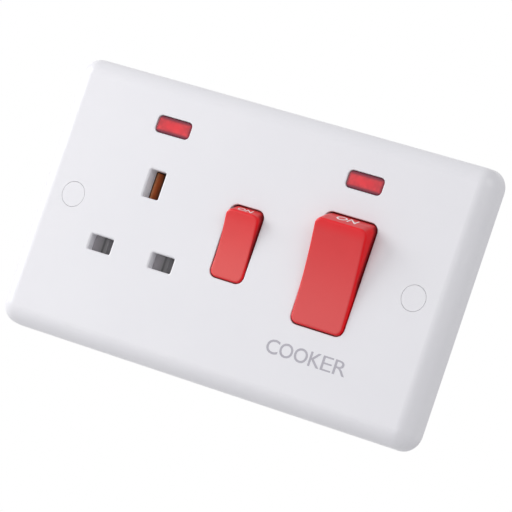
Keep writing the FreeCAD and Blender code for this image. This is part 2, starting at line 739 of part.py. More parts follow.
def plunger(label, x, angle):
    """A round-nosed pin that slides in the rocker's hub."""
    body = new_body(label)
    sketch = new_sketch(body, label + "_half", "YZ_Plane")
    radius = "plunger_diameter / 2"
    back, tip, flat = "plunger_reach - plunger_length", "plunger_reach", "plunger_diameter / 6"
    points = (
        (back, "0"),
        (tip, "0"),
        (tip, flat),
        ("%s - %s + %s" % (tip, radius, flat), radius),
        (back, radius),
    )
    polygon(sketch, points)
    revolve(body, label + "_pin", sketch, "H_Axis")
    tilt(body, angle)
    place(body, x, "pivot_y")


def coil(body, label, radius, pitch, length):
    """A square-wire spring that winds up along the body's Z axis."""
    sketch = new_sketch(body, label + "_wire", "XZ_Plane")
    rectangle(sketch, "%s - spring_wire" % radius, radius, "0", "spring_wire")
    helix = body.newObject("PartDesign::AdditiveHelix", label + "_coil")
    helix.Profile = sketch
    helix.ReferenceAxis = (sketch, ["V_Axis"])
    helix.Mode = "pitch-height-angle"
    bind(helix, "Pitch", pitch)
    bind(helix, "Height", "%s - spring_wire" % length)
    doc.recompute()


def plunger_spring(label, x, angle):
    """The spring between the end of the hub's bore and its plunger."""
    body = new_body(label)
    length = "plunger_reach - plunger_length + spring_seat - 2 * spring_play"
    coil(body, label, "plunger_diameter / 2 - spring_play", "spring_pitch", length)
    body.Placement = FreeCAD.Placement(FreeCAD.Vector(), FreeCAD.Rotation(FreeCAD.Vector(1, 0, 0), 1))
    bind(body, "Placement.Rotation.Angle", "%s - 90" % angle)
    start = "(spring_play - spring_seat)"
    place(body, x, "pivot_y + %s * cos(%s)" % (start, angle), "%s * sin(%s)" % (start, angle))


# Moving contacts, drawn level about the fulcrum and then tipped onto their fixed contact
def moving_contact(label, x):
    body = new_body(label)
    sketch = new_sketch(body, label + "_profile", "YZ_Plane", "-lever_width / 2")
    front, back = "-lever_thickness - fulcrum_drop", "-fulcrum_drop"
    rectangle(sketch, front, back, "-lever_tail", "contact_arm + rivet_diameter / 2")
    pad(body, label + "_strip", sketch, "lever_width")
    sketch = new_sketch(body, label + "_notch_outline", "YZ_Plane", "lever_width")
    circle(sketch, "0", "0", "2 * (fulcrum_radius + fulcrum_gap)")
    pocket(body, label + "_notch", sketch, "2 * lever_width")
    sketch = new_sketch(body, label + "_rivet_outline", "XZ_Plane", "rivet_height - fulcrum_drop")
    circle(sketch, "0", "contact_arm", "rivet_diameter")
    pad(body, label + "_rivet", sketch, "rivet_height")
    tilt(body, "-lever_tilt")
    place(body, x, "fulcrum_y")


def fulcrum(body, label, x, width):
    """A round-topped post on a bar, which the moving contact rocks on."""
    start = "%s - %s / 2" % (x, width)
    sketch = new_sketch(body, label + "_post_outline", "YZ_Plane", start)
    rectangle(sketch, "fulcrum_y", "bar_back_y", "-fulcrum_radius", "fulcrum_radius")
    pad(body, label + "_post", sketch, width)
    sketch = new_sketch(body, label + "_ridge_outline", "YZ_Plane", start)
    circle(sketch, "fulcrum_y", "0", "2 * fulcrum_radius")
    pad(body, label + "_ridge", sketch, width)


def fixed_rivet(body, label, x):
    sketch = new_sketch(body, label + "_rivet_outline", "XZ_Plane", "bar_y")
    circle(sketch, x, "contact_arm", "rivet_diameter")
    pad(body, label + "_rivet", sketch, "rivet_height")


# Terminals
def terminal_block(body, label, low_x, high_x, side, bores):
    """A brass block with a bore for each cable along Z and a screw hole from the back."""
    near, far = "terminal_z", "terminal_z + terminal_length"
    low, high = (near, far) if side > 0 else ("-(%s)" % far, "-(%s)" % near)
    sketch = new_sketch(body, label + "_block_outline", "XZ_Plane", "block_back_y")
    rectangle(sketch, low_x, high_x, low, high)
    pad(body, label + "_block", sketch, "block_back_y - bar_y")
    sketch = new_sketch(body, label + "_bore_outline", "XY_Plane", high)
    for x in bores:
        circle(sketch, x, "bore_y", "terminal_bore")
    pocket(body, label + "_bore", sketch, "terminal_length")
    sketch = new_sketch(body, label + "_screw_hole_outline", "XZ_Plane", "bore_y")
    for x in bores:
        middle = signed(side, "terminal_z + terminal_length / 2")
        circle(sketch, x, middle, "terminal_screw + 2 * terminal_screw_gap")
    pocket(body, label + "_screw_hole", sketch, "block_back_y - bore_y")


def cooker_terminal(label, block_x, pole_x, side):
    """A block with a bar to its pole: the supply's bar ends in a fulcrum, the load's in a contact."""
    body = new_body(label)
    end = "contact_arm - rivet_diameter / 2 - fulcrum_radius" if side > 0 else "-2 * fulcrum_radius"
    outer = "terminal_z"
    low, high = (end, outer) if side > 0 else ("-terminal_z", "-(%s)" % end)
    sketch = new_sketch(body, label + "_bar_outline", "XZ_Plane", "bar_back_y")
    rectangle(sketch, "%s - bar_width / 2" % pole_x, "%s + bar_width / 2" % pole_x, low, high)
    pad(body, label + "_bar", sketch, "bar_thickness")
    half = "terminal_width / 2"
    terminal_block(body, label, "%s - %s" % (block_x, half), "%s + %s" % (block_x, half), side, (block_x,))
    if side > 0:
        fixed_rivet(body, label, pole_x)
    else:
        fulcrum(body, label, pole_x, "lever_width")


def earth_bar():
    """A two-way block for the earth wires, with a tab down to the earth contact."""
    body = new_body("earth_bar")
    sketch = new_sketch(body, "earth_tab_outline", "XZ_Plane", "bar_back_y")
    low = "earth_z + earth_contact_width / 2"
    rectangle(sketch, "socket_x - bar_width / 2", "socket_x + bar_width / 2", low, "terminal_z")
    pad(body, "earth_tab", sketch, "bar_thickness")
    half = "earth_bore_pitch / 2"
    bores = ("socket_x - %s" % half, "socket_x + %s" % half)
    reach = "%s - terminal_width / 2" % bores[0], "%s + terminal_width / 2" % bores[1]
    terminal_block(body, "earth_bar", reach[0], reach[1], 1, bores)


def terminal_screws():
    """Slotted grub screws, backed out so that every cable bore is clear."""
    half = "earth_bore_pitch / 2"
    spots = [("socket_x - " + half, 1), ("socket_x + " + half, 1)]
    spots += [(x, side) for x in ("neutral_block_x", "line_block_x") for side in (1, -1)]
    screws = []
    start = "bore_y + terminal_bore / 2 + terminal_screw_lift"
    for index, (x, side) in enumerate(spots):
        z = signed(side, "terminal_z + terminal_length / 2")
        length = "rear_y - (%s)" % start
        bar = cylinder("terminal_screw_bar_%d" % index, "terminal_screw", length, x, start, z)
        slot = doc.addObject("Part::Box", "terminal_screw_slot_%d" % index)
        bind(slot, "Length", "2 * terminal_screw")
        bind(slot, "Width", "2 * driver_slot_depth")
        bind(slot, "Height", "driver_slot")
        place(slot, "%s - terminal_screw" % x, "rear_y - driver_slot_depth", "%s - driver_slot / 2" % z)
        screw = doc.addObject("Part::Cut", "terminal_screw_%d" % index)
        screw.Base = bar
        screw.Tool = slot
        screws.append(screw)
    group("terminal_screws", screws)


# Busbars
def line_busbar():
    """Carries the supply from the line terminal, behind the neutral bar, to the socket switch's fulcrum."""
    body = new_body("line_busbar")
    near, far = "socket_switch_x - lever_width / 2", "line_pole_x + lever_width / 2"
    bend = "socket_switch_x + socket_opening_width"
    touch = "line_pole_x - lever_width / 2"
    run, run_back = "bar_y + busbar_step", "bar_back_y + busbar_step"
    points = (
        (near, "bar_y"),
        (bend, "bar_y"),
        (bend, run),
        (touch, run),
        (touch, "bar_back_y"),
        (far, "bar_back_y"),
        (far, run_back),
        ("%s - bar_thickness" % bend, run_back),
        ("%s - bar_thickness" % bend, "bar_back_y"),
        (near, "bar_back_y"),
    )
    sketch = new_sketch(body, "line_busbar_profile", "XY_Plane", "-contact_arm")
    polygon(sketch, points)
    pad(body, "line_busbar_run", sketch, "busbar_width")
    sketch = new_sketch(body, "line_busbar_leg_outline", "XZ_Plane", "bar_back_y")
    rectangle(sketch, near, "socket_switch_x + lever_width / 2", "-contact_arm", "2 * fulcrum_radius")
    pad(body, "line_busbar_leg", sketch, "bar_thickness")
    fulcrum(body, "line_busbar", "socket_switch_x", "lever_width")


def neutral_busbar():
    """Runs along the bottom from the neutral contact to the cooker's neutral bar."""
    body = new_body("neutral_busbar")
    sketch = new_sketch(body, "neutral_busbar_outline", "XZ_Plane", "bar_back_y")
    left, right = "neutral_x - contact_width / 2", "neutral_pole_x - bar_width / 2"
    base = "pin_row_z - contact_half"
    top, low = "%s - busbar_air" % base, "%s - busbar_air - busbar_width" % base
    step = "neutral_x"
    points = ((left, low), (right, low), (right, top), (step, top), (step, base), (left, base))
    polygon(sketch, points)
    pad(body, "neutral_busbar_strip", sketch, "bar_thickness")


# Socket contacts
def clip(body, label, role, start, centre, depths, width):
    """Two sprung cheeks with flared mouths on a base, folded from one strip."""
    front_y, base_y, base_back_y = depths
    sketch = new_sketch(body, label + "_profile", role, start)
    grip, outer = "contact_grip / 2", "contact_half"
    throat = "%s + contact_flare_length" % front_y
    right = (
        (front_y, "%s + contact_flare" % grip),
        (throat, grip),
        (base_y, grip),
    )
    outside = (
        (base_back_y, outer),
        (throat, outer),
        (front_y, "%s + contact_flare" % outer),
    )
    path = [(y, "-(%s)" % off) for y, off in reversed(outside)]
    path += [(y, off) for y, off in outside]
    path += list(right)
    path += [(y, "-(%s)" % off) for y, off in reversed(right)]
    points = [(y, "%s + %s" % (centre, off)) for y, off in path]
    if role == "XY_Plane":
        points = [(across, y) for y, across in points]
    polygon(sketch, points)
    pad(body, label + "_cheeks", sketch, width)


def pin_contact(label, x):
    """The clip for a line or neutral pin, with its cheeks above and below the pin."""
    body = new_body(label)
    start = "%s - contact_width / 2" % x
    clip(body, label, "YZ_Plane", start, "pin_row_z", ("contact_y", "bar_y", "bar_back_y"), "contact_width")
    return body


def line_contact():
    """The line clip carries a strip up to the socket switch's fixed contact."""
    body = pin_contact("line_contact", "line_x")
    sketch = new_sketch(body, "line_strip_outline", "XZ_Plane", "bar_back_y")
    half = "contact_half"
    edge = "socket_switch_x - socket_opening_width / 2"
    points = (
        ("line_x", "pin_row_z - %s" % half),
        (edge, "pin_row_z - %s" % half),
        (edge, "contact_arm - %s" % half),
        ("socket_switch_x + %s" % half, "contact_arm - %s" % half),
        ("socket_switch_x + %s" % half, "contact_arm + %s" % half),
        ("%s - 2 * %s" % (edge, half), "contact_arm + %s" % half),
        ("%s - 2 * %s" % (edge, half), "pin_row_z + %s" % half),
        ("line_x", "pin_row_z + %s" % half),
    )
    polygon(sketch, points)
    pad(body, "line_strip", sketch, "bar_thickness")
    fixed_rivet(body, "line_contact", "socket_switch_x")


def earth_contact():
    """The earth clip stands the other way, with its cheeks left and right of the pin."""
    body = new_body("earth_contact")
    start = "earth_z - earth_contact_width / 2"
    back = "earth_base_y + contact_sheet"
    depths = ("earth_contact_y", "earth_base_y", back)
    clip(body, "earth_contact", "XY_Plane", start, "socket_x", depths, "earth_contact_width")


# Shutter
def shutter_wedge(body, name, x):
    """A flat land over the slot's left and a ramp on its right, which a pin pushes to the left."""
    front, back = "inner_y + shutter_play", "seat_y - shutter_play"
    left, right = "%s - wedge_half" % x, "%s + wedge_half" % x
    knee = "%s + shutter_land" % left
    sketch = new_sketch(body, "shutter_%s_outline" % name, "XY_Plane", "pin_row_z - shutter_half")
    ramp_end = "%s - shutter_ramp_floor" % back
    points = ((left, front), (knee, front), (right, ramp_end), (right, back), (left, back))
    polygon(sketch, points)
    pad(body, "shutter_%s_wedge" % name, sketch, "2 * shutter_half")


def shutter():
    """A frame that slides behind the face and carries one wedge for each pin slot."""
    body = new_body("shutter")
    shutter_wedge(body, "neutral", "neutral_x")
    sketch = new_sketch(body, "shutter_rails_outline", "XZ_Plane", "seat_y - shutter_play")
    low, high = "neutral_x - wedge_half", "line_x + wedge_half"
    rectangle(sketch, low, high, "pin_row_z + shutter_half", "pin_row_z + shutter_rail_z")
    rectangle(sketch, low, high, "pin_row_z - shutter_rail_z", "pin_row_z - shutter_half")
    pad(body, "shutter_rails", sketch, "rib_height - 2 * shutter_play")
    shutter_wedge(body, "line", "line_x")


def shutter_spring():
    """Returns the shutter: it stands between the plate's post and the line wedge."""
    body = new_body("shutter_spring")
    length = "line_x - wedge_half - (post_far_x) - 2 * spring_play"
    coil(body, "shutter_spring", "shutter_spring_radius", "shutter_spring_pitch", length)
    body.Placement = FreeCAD.Placement(FreeCAD.Vector(), FreeCAD.Rotation(FreeCAD.Vector(0, 1, 0), 90))
    place(body, "post_far_x + spring_play", "(inner_y + seat_y) / 2", "pin_row_z")


# Rear housing
TOWERS = (
    ("earth", "socket_x", "earth_bore_pitch", 1),
    ("load", "cooker_switch_x", "terminal_pitch", 1),
    ("supply", "cooker_switch_x", "terminal_pitch", -1),
)


def housing_shell(body):
    """A box with a stepped back: deep along the top and bottom for the terminals, shallow between."""
    width, height, wall = "2 * housing_half_x", "2 * housing_half_z", "2 * housing_wall"
    sketch = new_sketch(body, "housing_outline", "XZ_Plane", "rear_y")
    rounded(sketch, "0", "0", width, height, "housing_corner")
    pad(body, "housing_block", sketch, "rear_y - (seat_y)")
    sketch = new_sketch(body, "housing_step_outline", "XZ_Plane", "rear_y - housing_step")
    step_z = "terminal_z - tower_wall"
    rectangle(sketch, "-housing_half_x", "housing_half_x", "-(%s)" % step_z, step_z)
    pocket(body, "housing_step", sketch, "housing_step")
    sketch = new_sketch(body, "housing_hollow_outline", "XZ_Plane", "seat_y")
    inner_width, inner_height = "%s - %s" % (width, wall), "%s - %s" % (height, wall)
    rounded(sketch, "0", "0", inner_width, inner_height, "housing_corner - housing_wall")
    pocket(body, "housing_hollow", sketch, "rear_y - (seat_y) - housing_step - housing_wall")
    sketch = new_sketch(body, "terminal_banks_outline", "XZ_Plane", "seat_y")
    bank = "housing_half_z - housing_wall - terminal_z"
    for side in (1, -1):
        middle = signed(side, "housing_half_z - housing_wall - (%s) / 2" % bank)
        rounded(sketch, "0", middle, inner_width, bank, "housing_corner - housing_wall")
    pocket(body, "terminal_banks", sketch, "rear_y - (seat_y) - housing_wall")


def housing_inside(body):
    """Corner posts, walls beside the two switches, the shutter's deck and the terminals' towers."""
    sketch = new_sketch(body, "posts", "XZ_Plane", "rear_y")
    for x, z in CORNERS:
        circle(sketch, signed(x, "post_x"), signed(z, "post_z"), "post_diameter")
    pad(body, "housing_posts", sketch, "rear_y - (seat_y)")
    sketch = new_sketch(body, "partitions", "XZ_Plane", "bar_y - partition_air")
    for _, x, width, _ in SWITCHES:
        for _, side in SIDES:
            near = "%s %s %s / 2" % (x, "+" if side > 0 else "-", width)
            far = "%s %s ear_thickness" % (near, "+" if side > 0 else "-")
            low, high = (near, far) if side > 0 else (far, near)
            rectangle(sketch, low, high, "-housing_half_z", "housing_half_z")
    pad(body, "housing_partitions", sketch, "bar_y - partition_air - (seat_y)")
    sketch = new_sketch(body, "deck", "XZ_Plane", "seat_y + deck_depth")
    edge = "socket_switch_x - socket_opening_width / 2"
    for side in (-1, 1):
        near, far = ("shutter_half", "shutter_rail_z") if side > 0 else ("-shutter_rail_z", "-shutter_half")
        rectangle(sketch, "-housing_half_x", edge, "pin_row_z + %s" % near, "pin_row_z + %s" % far)
    pad(body, "shutter_deck", sketch, "deck_depth")
    sketch = new_sketch(body, "towers", "XZ_Plane", "rear_y")
    for _, x, pitch, side in TOWERS:
        half = "%s / 2 + terminal_width / 2 + terminal_fit + tower_wall" % pitch
        near, far = "terminal_z - tower_wall", "housing_half_z"
        low, high = (near, far) if side > 0 else ("-(%s)" % far, "-(%s)" % near)
        rectangle(sketch, "%s - (%s)" % (x, half), "%s + %s" % (x, half), low, high)
    pad(body, "terminal_towers", sketch, "rear_y - bar_y + tower_floor")


def housing_pockets(body):
    """Open-backed pockets for the terminals, slots for their bars, and the screw holes."""
    sketch = new_sketch(body, "terminal_pockets_outline", "XZ_Plane", "bar_y")
    spots = [("socket_x", "earth_bore_pitch + terminal_width", 1)]
    spots += [(x, "terminal_width", side) for x in ("neutral_block_x", "line_block_x") for side in (1, -1)]
    for x, width, side in spots:
        half = "(%s) / 2 + terminal_fit" % width
        near, far = "terminal_z", "housing_half_z"
        low, high = (near, far) if side > 0 else ("-(%s)" % far, "-(%s)" % near)
        rectangle(sketch, "%s - (%s)" % (x, half), "%s + %s" % (x, half), low, high)
    pocket(body, "terminal_pockets", sketch, "rear_y - bar_y")
    sketch = new_sketch(body, "bar_slots_outline", "XZ_Plane", "bar_y")
    spots = [("socket_x", 1)]
    spots += [(x, side) for x in ("neutral_pole_x", "line_pole_x") for side in (1, -1)]
    for x, side in spots:
        half = "bar_width / 2 + terminal_fit"
        near, far = "terminal_z - tower_wall", "terminal_z"
        low, high = (near, far) if side > 0 else ("-(%s)" % far, "-(%s)" % near)
        rectangle(sketch, "%s - (%s)" % (x, half), "%s + %s" % (x, half), low, high)
    pocket(body, "bar_slots", sketch, "bar_thickness + terminal_fit")
    heads = (
        ("housing_screw_holes", "housing_screw + 2 * housing_screw_gap", "seat_y"),
        ("housing_screw_heads", "housing_screw_head + 2 * housing_screw_gap", "screw_seat_y"),
    )
    for name, diameter, level in heads:
        sketch = new_sketch(body, name + "_outline", "XZ_Plane", level)
        for x, z in CORNERS:
            circle(sketch, signed(x, "post_x"), signed(z, "post_z"), diameter)
        pocket(body, name, sketch, "rear_y - (%s)" % level)


def rear_housing():
    body = new_body("rear_housing")
    housing_shell(body)
    housing_inside(body)
    housing_pockets(body)


def housing_screws():
    """Four pan-head screws from the back of the housing into the plate's bosses."""
    screws = []
    tip = "seat_y - housing_screw_grip + housing_screw_gap"
    for index, (x_side, z_side) in enumerate(CORNERS):
        x, z = signed(x_side, "post_x"), signed(z_side, "post_z")
        length, height = "screw_seat_y - (%s)" % tip, "housing_screw_head_height"
        shank = cylinder("housing_shank_%d" % index, "housing_screw", length, x, tip, z)
        head = cylinder("housing_head_%d" % index, "housing_screw_head", height, x, "screw_seat_y", z)
        screws.append(joined("housing_screw_%d" % index, [shank, head]))
    group("housing_screws", screws)


front_plate()
rear_housing()
housing_screws()
for side_name, side_sign in SIDES:
    screw_cap(side_name + "_screw_cap", side_sign)
for neon_name, neon_x in NEONS:
    neon_lens(neon_name + "_neon_lens", neon_x)
    neon_lamp(neon_name + "_neon_lamp", neon_x)
neon_resistors()
rocker(
    "socket_rocker",
    "socket_switch_x",
    "socket_opening_width",
    "socket_opening_height",
    "socket_rocker_height",
    "socket_rocker_lean",
    "socket_tilt",
    ("0",),
)
rocker(
    "cooker_rocker",
    "cooker_switch_x",
    "cooker_opening_width",
    "cooker_opening_height",
    "cooker_rocker_height",
    "cooker_rocker_lean",
    "cooker_tilt",
    ("-pole_pitch / 2", "pole_pitch / 2"),
)
POLES = (
    ("socket", "socket_switch_x", "socket_tilt"),
    ("cooker_neutral", "neutral_pole_x", "cooker_tilt"),
    ("cooker_line", "line_pole_x", "cooker_tilt"),
)
for pole_name, pole_x, pole_tilt in POLES:
    moving_contact(pole_name + "_moving_contact", pole_x)
    plunger(pole_name + "_plunger", pole_x, pole_tilt)
    plunger_spring(pole_name + "_plunger_spring", pole_x, pole_tilt)
cooker_terminal("neutral_load_terminal", "neutral_block_x", "neutral_pole_x", 1)
cooker_terminal("line_load_terminal", "line_block_x", "line_pole_x", 1)
cooker_terminal("neutral_supply_terminal", "neutral_block_x", "neutral_pole_x", -1)
cooker_terminal("line_supply_terminal", "line_block_x", "line_pole_x", -1)
earth_bar()
terminal_screws()
line_busbar()
neutral_busbar()
line_contact()
pin_contact("neutral_contact", "neutral_x")
earth_contact()
shutter()
shutter_spring()
doc.recompute()

failed = [thing.Name for thing in doc.Objects if "Invalid" in thing.State or "Error" in thing.State]
if failed:
    raise RuntimeError("these did not build: " + ", ".join(failed))
for piece in pieces:
    if piece.Shape.isNull() or not piece.Shape.isValid():
        raise RuntimeError(piece.Label + " has no sound shape")

os.makedirs("parts", exist_ok=True)
for piece in pieces:
    piece.Shape.exportStep("parts/%s.step" % piece.Label)
    print("%-26s %2d solid  %9.1f mm3" % (piece.Label, len(piece.Shape.Solids), piece.Shape.Volume))
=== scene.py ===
# %% [markdown]
# # Dressing a cooker control unit
# The real object is a white wall plate with a switched socket on the left and a large red cooker switch
# on the right. Its solid pieces come ready made, in metres, with the wall as the plane Y = 0 and the
# face looking along -Y. This lesson gives them their finishes, adds spring coils, real screws,
# lettering and the marks that a mould leaves, and sets up the studio. Loading comes first, because
# everything else hangs on these pieces.

# %% Load the pieces
import math

import bmesh
import bpy
from mathutils import Matrix, Vector


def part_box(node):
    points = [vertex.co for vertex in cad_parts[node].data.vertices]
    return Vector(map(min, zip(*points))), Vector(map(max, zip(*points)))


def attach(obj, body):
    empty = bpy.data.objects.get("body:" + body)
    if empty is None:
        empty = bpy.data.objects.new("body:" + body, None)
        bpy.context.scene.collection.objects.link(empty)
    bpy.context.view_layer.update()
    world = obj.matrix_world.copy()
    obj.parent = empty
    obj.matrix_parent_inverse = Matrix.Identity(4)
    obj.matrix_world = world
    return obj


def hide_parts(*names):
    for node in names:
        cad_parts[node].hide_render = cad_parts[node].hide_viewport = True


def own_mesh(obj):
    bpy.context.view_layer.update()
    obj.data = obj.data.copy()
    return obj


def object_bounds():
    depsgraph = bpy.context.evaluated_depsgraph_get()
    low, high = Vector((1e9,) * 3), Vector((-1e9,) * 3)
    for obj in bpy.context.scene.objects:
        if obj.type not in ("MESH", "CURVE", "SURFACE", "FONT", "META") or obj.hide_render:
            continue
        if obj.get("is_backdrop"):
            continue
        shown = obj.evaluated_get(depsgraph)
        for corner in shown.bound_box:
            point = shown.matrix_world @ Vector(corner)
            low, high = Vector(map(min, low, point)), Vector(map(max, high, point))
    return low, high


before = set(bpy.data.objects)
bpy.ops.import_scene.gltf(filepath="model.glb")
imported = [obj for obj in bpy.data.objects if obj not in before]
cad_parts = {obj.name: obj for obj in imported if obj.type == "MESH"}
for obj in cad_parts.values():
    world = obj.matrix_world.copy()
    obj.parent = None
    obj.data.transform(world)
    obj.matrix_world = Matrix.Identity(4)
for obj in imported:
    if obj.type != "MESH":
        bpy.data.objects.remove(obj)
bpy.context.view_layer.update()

# %% [markdown]
# ## A starting point for every finish
# A finish on a real moulding is never one flat colour: the pigment drifts a little, the gloss is broken
# by the grain of the mould, and the light catches a fine unevenness. Each could be painted as an image,
# but noise in object space needs no unwrapping and holds from every side. Most of these small builders
# add one node to a material's tree and hand back what comes out of it; the last one feeds that to the
# shader.

# %% Small builders for shader nodes
MM = 0.001


def noise_layer(tree, place, size, detail):
    """Soft noise whose blobs are about `size` metres across."""
    noise = tree.nodes.new("ShaderNodeTexNoise")
    noise.inputs["Scale"].default_value = 1.0 / size
    noise.inputs["Detail"].default_value = detail
    tree.links.new(place, noise.inputs["Vector"])
    return noise.outputs["Fac"]


def opaque(*colour):
    """A colour with the fourth number that sockets of colour want."""
    return (*colour, 1.0)


def ramp(tree, source, low, high, start=0.35, end=0.65):
    """Spread a value between two colours."""
    node = tree.nodes.new("ShaderNodeValToRGB")
    node.color_ramp.elements[0].position = start
    node.color_ramp.elements[1].position = end
    node.color_ramp.elements[0].color = opaque(*low)
    node.color_ramp.elements[1].color = opaque(*high)
    tree.links.new(source, node.inputs["Fac"])
    return node.outputs["Color"]


def spread(tree, source, low, high, start=0.3, end=0.7):
    """Spread a value between two numbers, with soft ends."""
    node = tree.nodes.new("ShaderNodeMapRange")
    node.interpolation_type = "SMOOTHSTEP"
    node.inputs["From Min"].default_value = start
    node.inputs["From Max"].default_value = end
    node.inputs["To Min"].default_value = low
    node.inputs["To Max"].default_value = high
    tree.links.new(source, node.inputs["Value"])
    return node.outputs["Result"]


def feed(tree, socket, source):
    """Let a value or a colour drive a socket of the shader."""
    tree.links.new(source, tree.nodes["Principled BSDF"].inputs[socket])


print("node builders ready")

# %% [markdown]
# The finish itself joins three noises of different size: a slow one for the colour, a quicker one for
# the gloss and the finest for the relief. `stretch` squeezes the noise along an axis, which turns the
# round grain of a mould into the drawn lines of a metal strip.

# %% A finish with drifting colour, uneven gloss and a fine grain
RELIEF = 0.05 * MM
POLISH_FINER = 4
TONE_DETAIL, POLISH_DETAIL, GRAIN_DETAIL = 3, 4, 2


def finish(
    name, light, dark, gloss, drift=9 * MM, grain=0.35 * MM, lift=0.02, stretch=(1, 1, 1), sheen=0.5
):
    """A material from two close colours, a span of roughness and a grain that may run one way."""
    material = bpy.data.materials.new(name)
    material.use_nodes = True
    tree = material.node_tree
    tree.nodes["Principled BSDF"].inputs["Specular IOR Level"].default_value = sheen
    coordinates = tree.nodes.new("ShaderNodeTexCoord")
    mapping = tree.nodes.new("ShaderNodeMapping")
    mapping.inputs["Scale"].default_value = stretch
    tree.links.new(coordinates.outputs["Object"], mapping.inputs["Vector"])
    place = mapping.outputs["Vector"]
    tone = noise_layer(tree, place, drift, TONE_DETAIL)
    feed(tree, "Base Color", ramp(tree, tone, dark, light))
    polish = noise_layer(tree, place, drift / POLISH_FINER, POLISH_DETAIL)
    feed(tree, "Roughness", spread(tree, polish, *gloss))
    bump = tree.nodes.new("ShaderNodeBump")
    bump.inputs["Strength"].default_value = lift
    bump.inputs["Distance"].default_value = RELIEF
    tree.links.new(noise_layer(tree, place, grain, GRAIN_DETAIL), bump.inputs["Height"])
    feed(tree, "Normal", bump.outputs["Normal"])
    return material


def dress(material, *names):
    """Give loaded pieces their finish."""
    for name in names:
        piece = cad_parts[name]
        piece.data.materials.clear()
        piece.data.materials.append(material)


print("finish ready")

# %% [markdown]
# ## White mouldings
# The plate and the caps are pressed from the same white compound, smooth with a soft gloss and a touch
# of lavender in the shade. The housing behind is plainer: it is made in a duller mould, a little warmer,
# with a coarser grain. Both could share a material, but then the back would shine like the front.

# %% Plate, caps, housing and inner mouldings
plate_white = finish(
    "plate_white", (0.805, 0.80, 0.828), (0.795, 0.79, 0.82), (0.295, 0.305), drift=24 * MM, lift=0.004
)
dress(plate_white, "front_plate", "left_screw_cap", "right_screw_cap")
housing_white = finish(
    "housing_white", (0.74, 0.735, 0.72), (0.71, 0.705, 0.69), (0.42, 0.55), grain=0.6 * MM, lift=0.08
)
dress(housing_white, "rear_housing")
plunger_white = finish("plunger_white", (0.80, 0.79, 0.74), (0.76, 0.75, 0.70), (0.4, 0.5))
POLES = ("socket", "cooker_neutral", "cooker_line")
dress(plunger_white, *[pole + "_plunger" for pole in POLES])
print("white mouldings dressed")

# %% [markdown]
# ## Laying one colour over another
# Wear, dirt and depth change a finish from place to place. Painting them by hand would need an unwrapped
# picture. Here a mask is worked out instead, from where a point lies or which way its surface looks, and
# the mask lays one colour over another. These builders do the sums, and find what a finish already reads
# and feeds.

# %% Builders for masks
def coordinates_of(tree):
    """The texture coordinates that a finish reads."""
    return next(node for node in tree.nodes if node.type == "TEX_COORD").outputs


def feed_of(tree, socket):
    """What drives a socket of the shader now."""
    return tree.nodes["Principled BSDF"].inputs[socket].links[0].from_socket


def axes(tree, source):
    """The X, Y and Z of a place or a direction, each as a value of its own."""
    node = tree.nodes.new("ShaderNodeSeparateXYZ")
    tree.links.new(source, node.inputs["Vector"])
    return node.outputs


def plug(tree, source, socket):
    """Join a node's output to a socket, or set a plain value there."""
    if isinstance(source, bpy.types.NodeSocket):
        tree.links.new(source, socket)
    else:
        socket.default_value = source


def sum_of(tree, kind, first, second=0.0):
    """One sum on two values, or on a value and a plain number."""
    node = tree.nodes.new("ShaderNodeMath")
    node.operation = kind
    plug(tree, first, node.inputs[0])
    plug(tree, second, node.inputs[1])
    return node.outputs["Value"]


def blend(tree, amount, below, above):
    """Lay one colour over another by an amount from 0 to 1."""
    node = tree.nodes.new("ShaderNodeMix")
    node.data_type = "RGBA"
    plug(tree, amount, node.inputs["Factor"])
    plug(tree, below, node.inputs["A"])
    plug(tree, above, node.inputs["B"])
    return node.outputs["Result"]


print("mask builders ready")

# %% [markdown]
# ## The shutter
# Behind the two lower slots lies one grey shutter with a flat land and a ramp for each pin. Its greys
# hold painted light and shade: light that falls into the slot is painted on the land, so it is palest at
# its far end, and a painted dark line stands for the shade at the knee where the ramp begins. The two
# wedges are alike and one pin pitch apart, so one band of greys that repeats with that pitch serves both.

# %% Shutter
PIN_PITCH = 22.2 * MM
SOCKET_X = -34.3 * MM
PAINTED_BAND_SHARE = 0.9
# Painted light and shade: pale where light falls on the land, a dark line for the shade at the knee.
LIGHT_AND_SHADE_BANDS = (
    (0.32, 0.48), (0.356, 0.34), (0.416, 0.22), (0.455, 0.16), (0.468, 0.03),
    (0.485, 0.03), (0.50, 0.10), (0.57, 0.13), (0.75, 0.13), (0.98, 0.48),
)
TINT = (1.02, 0.955, 1.02)
shutter_grey = finish(
    "shutter_grey", (0.21, 0.21, 0.22), (0.18, 0.18, 0.19), (0.4, 0.5), grain=0.3 * MM, lift=0.03
)
tree = shutter_grey.node_tree
from_middle = sum_of(tree, "SUBTRACT", axes(tree, coordinates_of(tree)["Object"])["X"], SOCKET_X)
pitches = sum_of(tree, "DIVIDE", from_middle, PIN_PITCH)
band = tree.nodes.new("ShaderNodeValToRGB")
while len(band.color_ramp.elements) < len(LIGHT_AND_SHADE_BANDS):
    band.color_ramp.elements.new(0.5)
for element, (position, grey) in zip(band.color_ramp.elements, LIGHT_AND_SHADE_BANDS):
    element.position = position
    element.color = opaque(*(grey * part for part in TINT))
tree.links.new(sum_of(tree, "FRACT", pitches), band.inputs["Fac"])
painted_light_and_shade = blend(tree, PAINTED_BAND_SHARE, feed_of(tree, "Base Color"), band.outputs["Color"])
feed(tree, "Base Color", painted_light_and_shade)
dress(shutter_grey, "shutter")
print("shutter dressed with", len(LIGHT_AND_SHADE_BANDS), "greys")

# %% [markdown]
# ## Red rockers
# The rockers are coloured right through. Their faces and ends take some real gloss, and the rest of their
# white sheen is a painted reflection that pales the red, while the sides stay as deep as the pigment. One
# finish all over would either wash out the sides or darken the face. So it follows the way that the
# surface looks: the piece's own normal says what is face, rolled edge, end or side, and it stays with the
# rocker when that tips over.

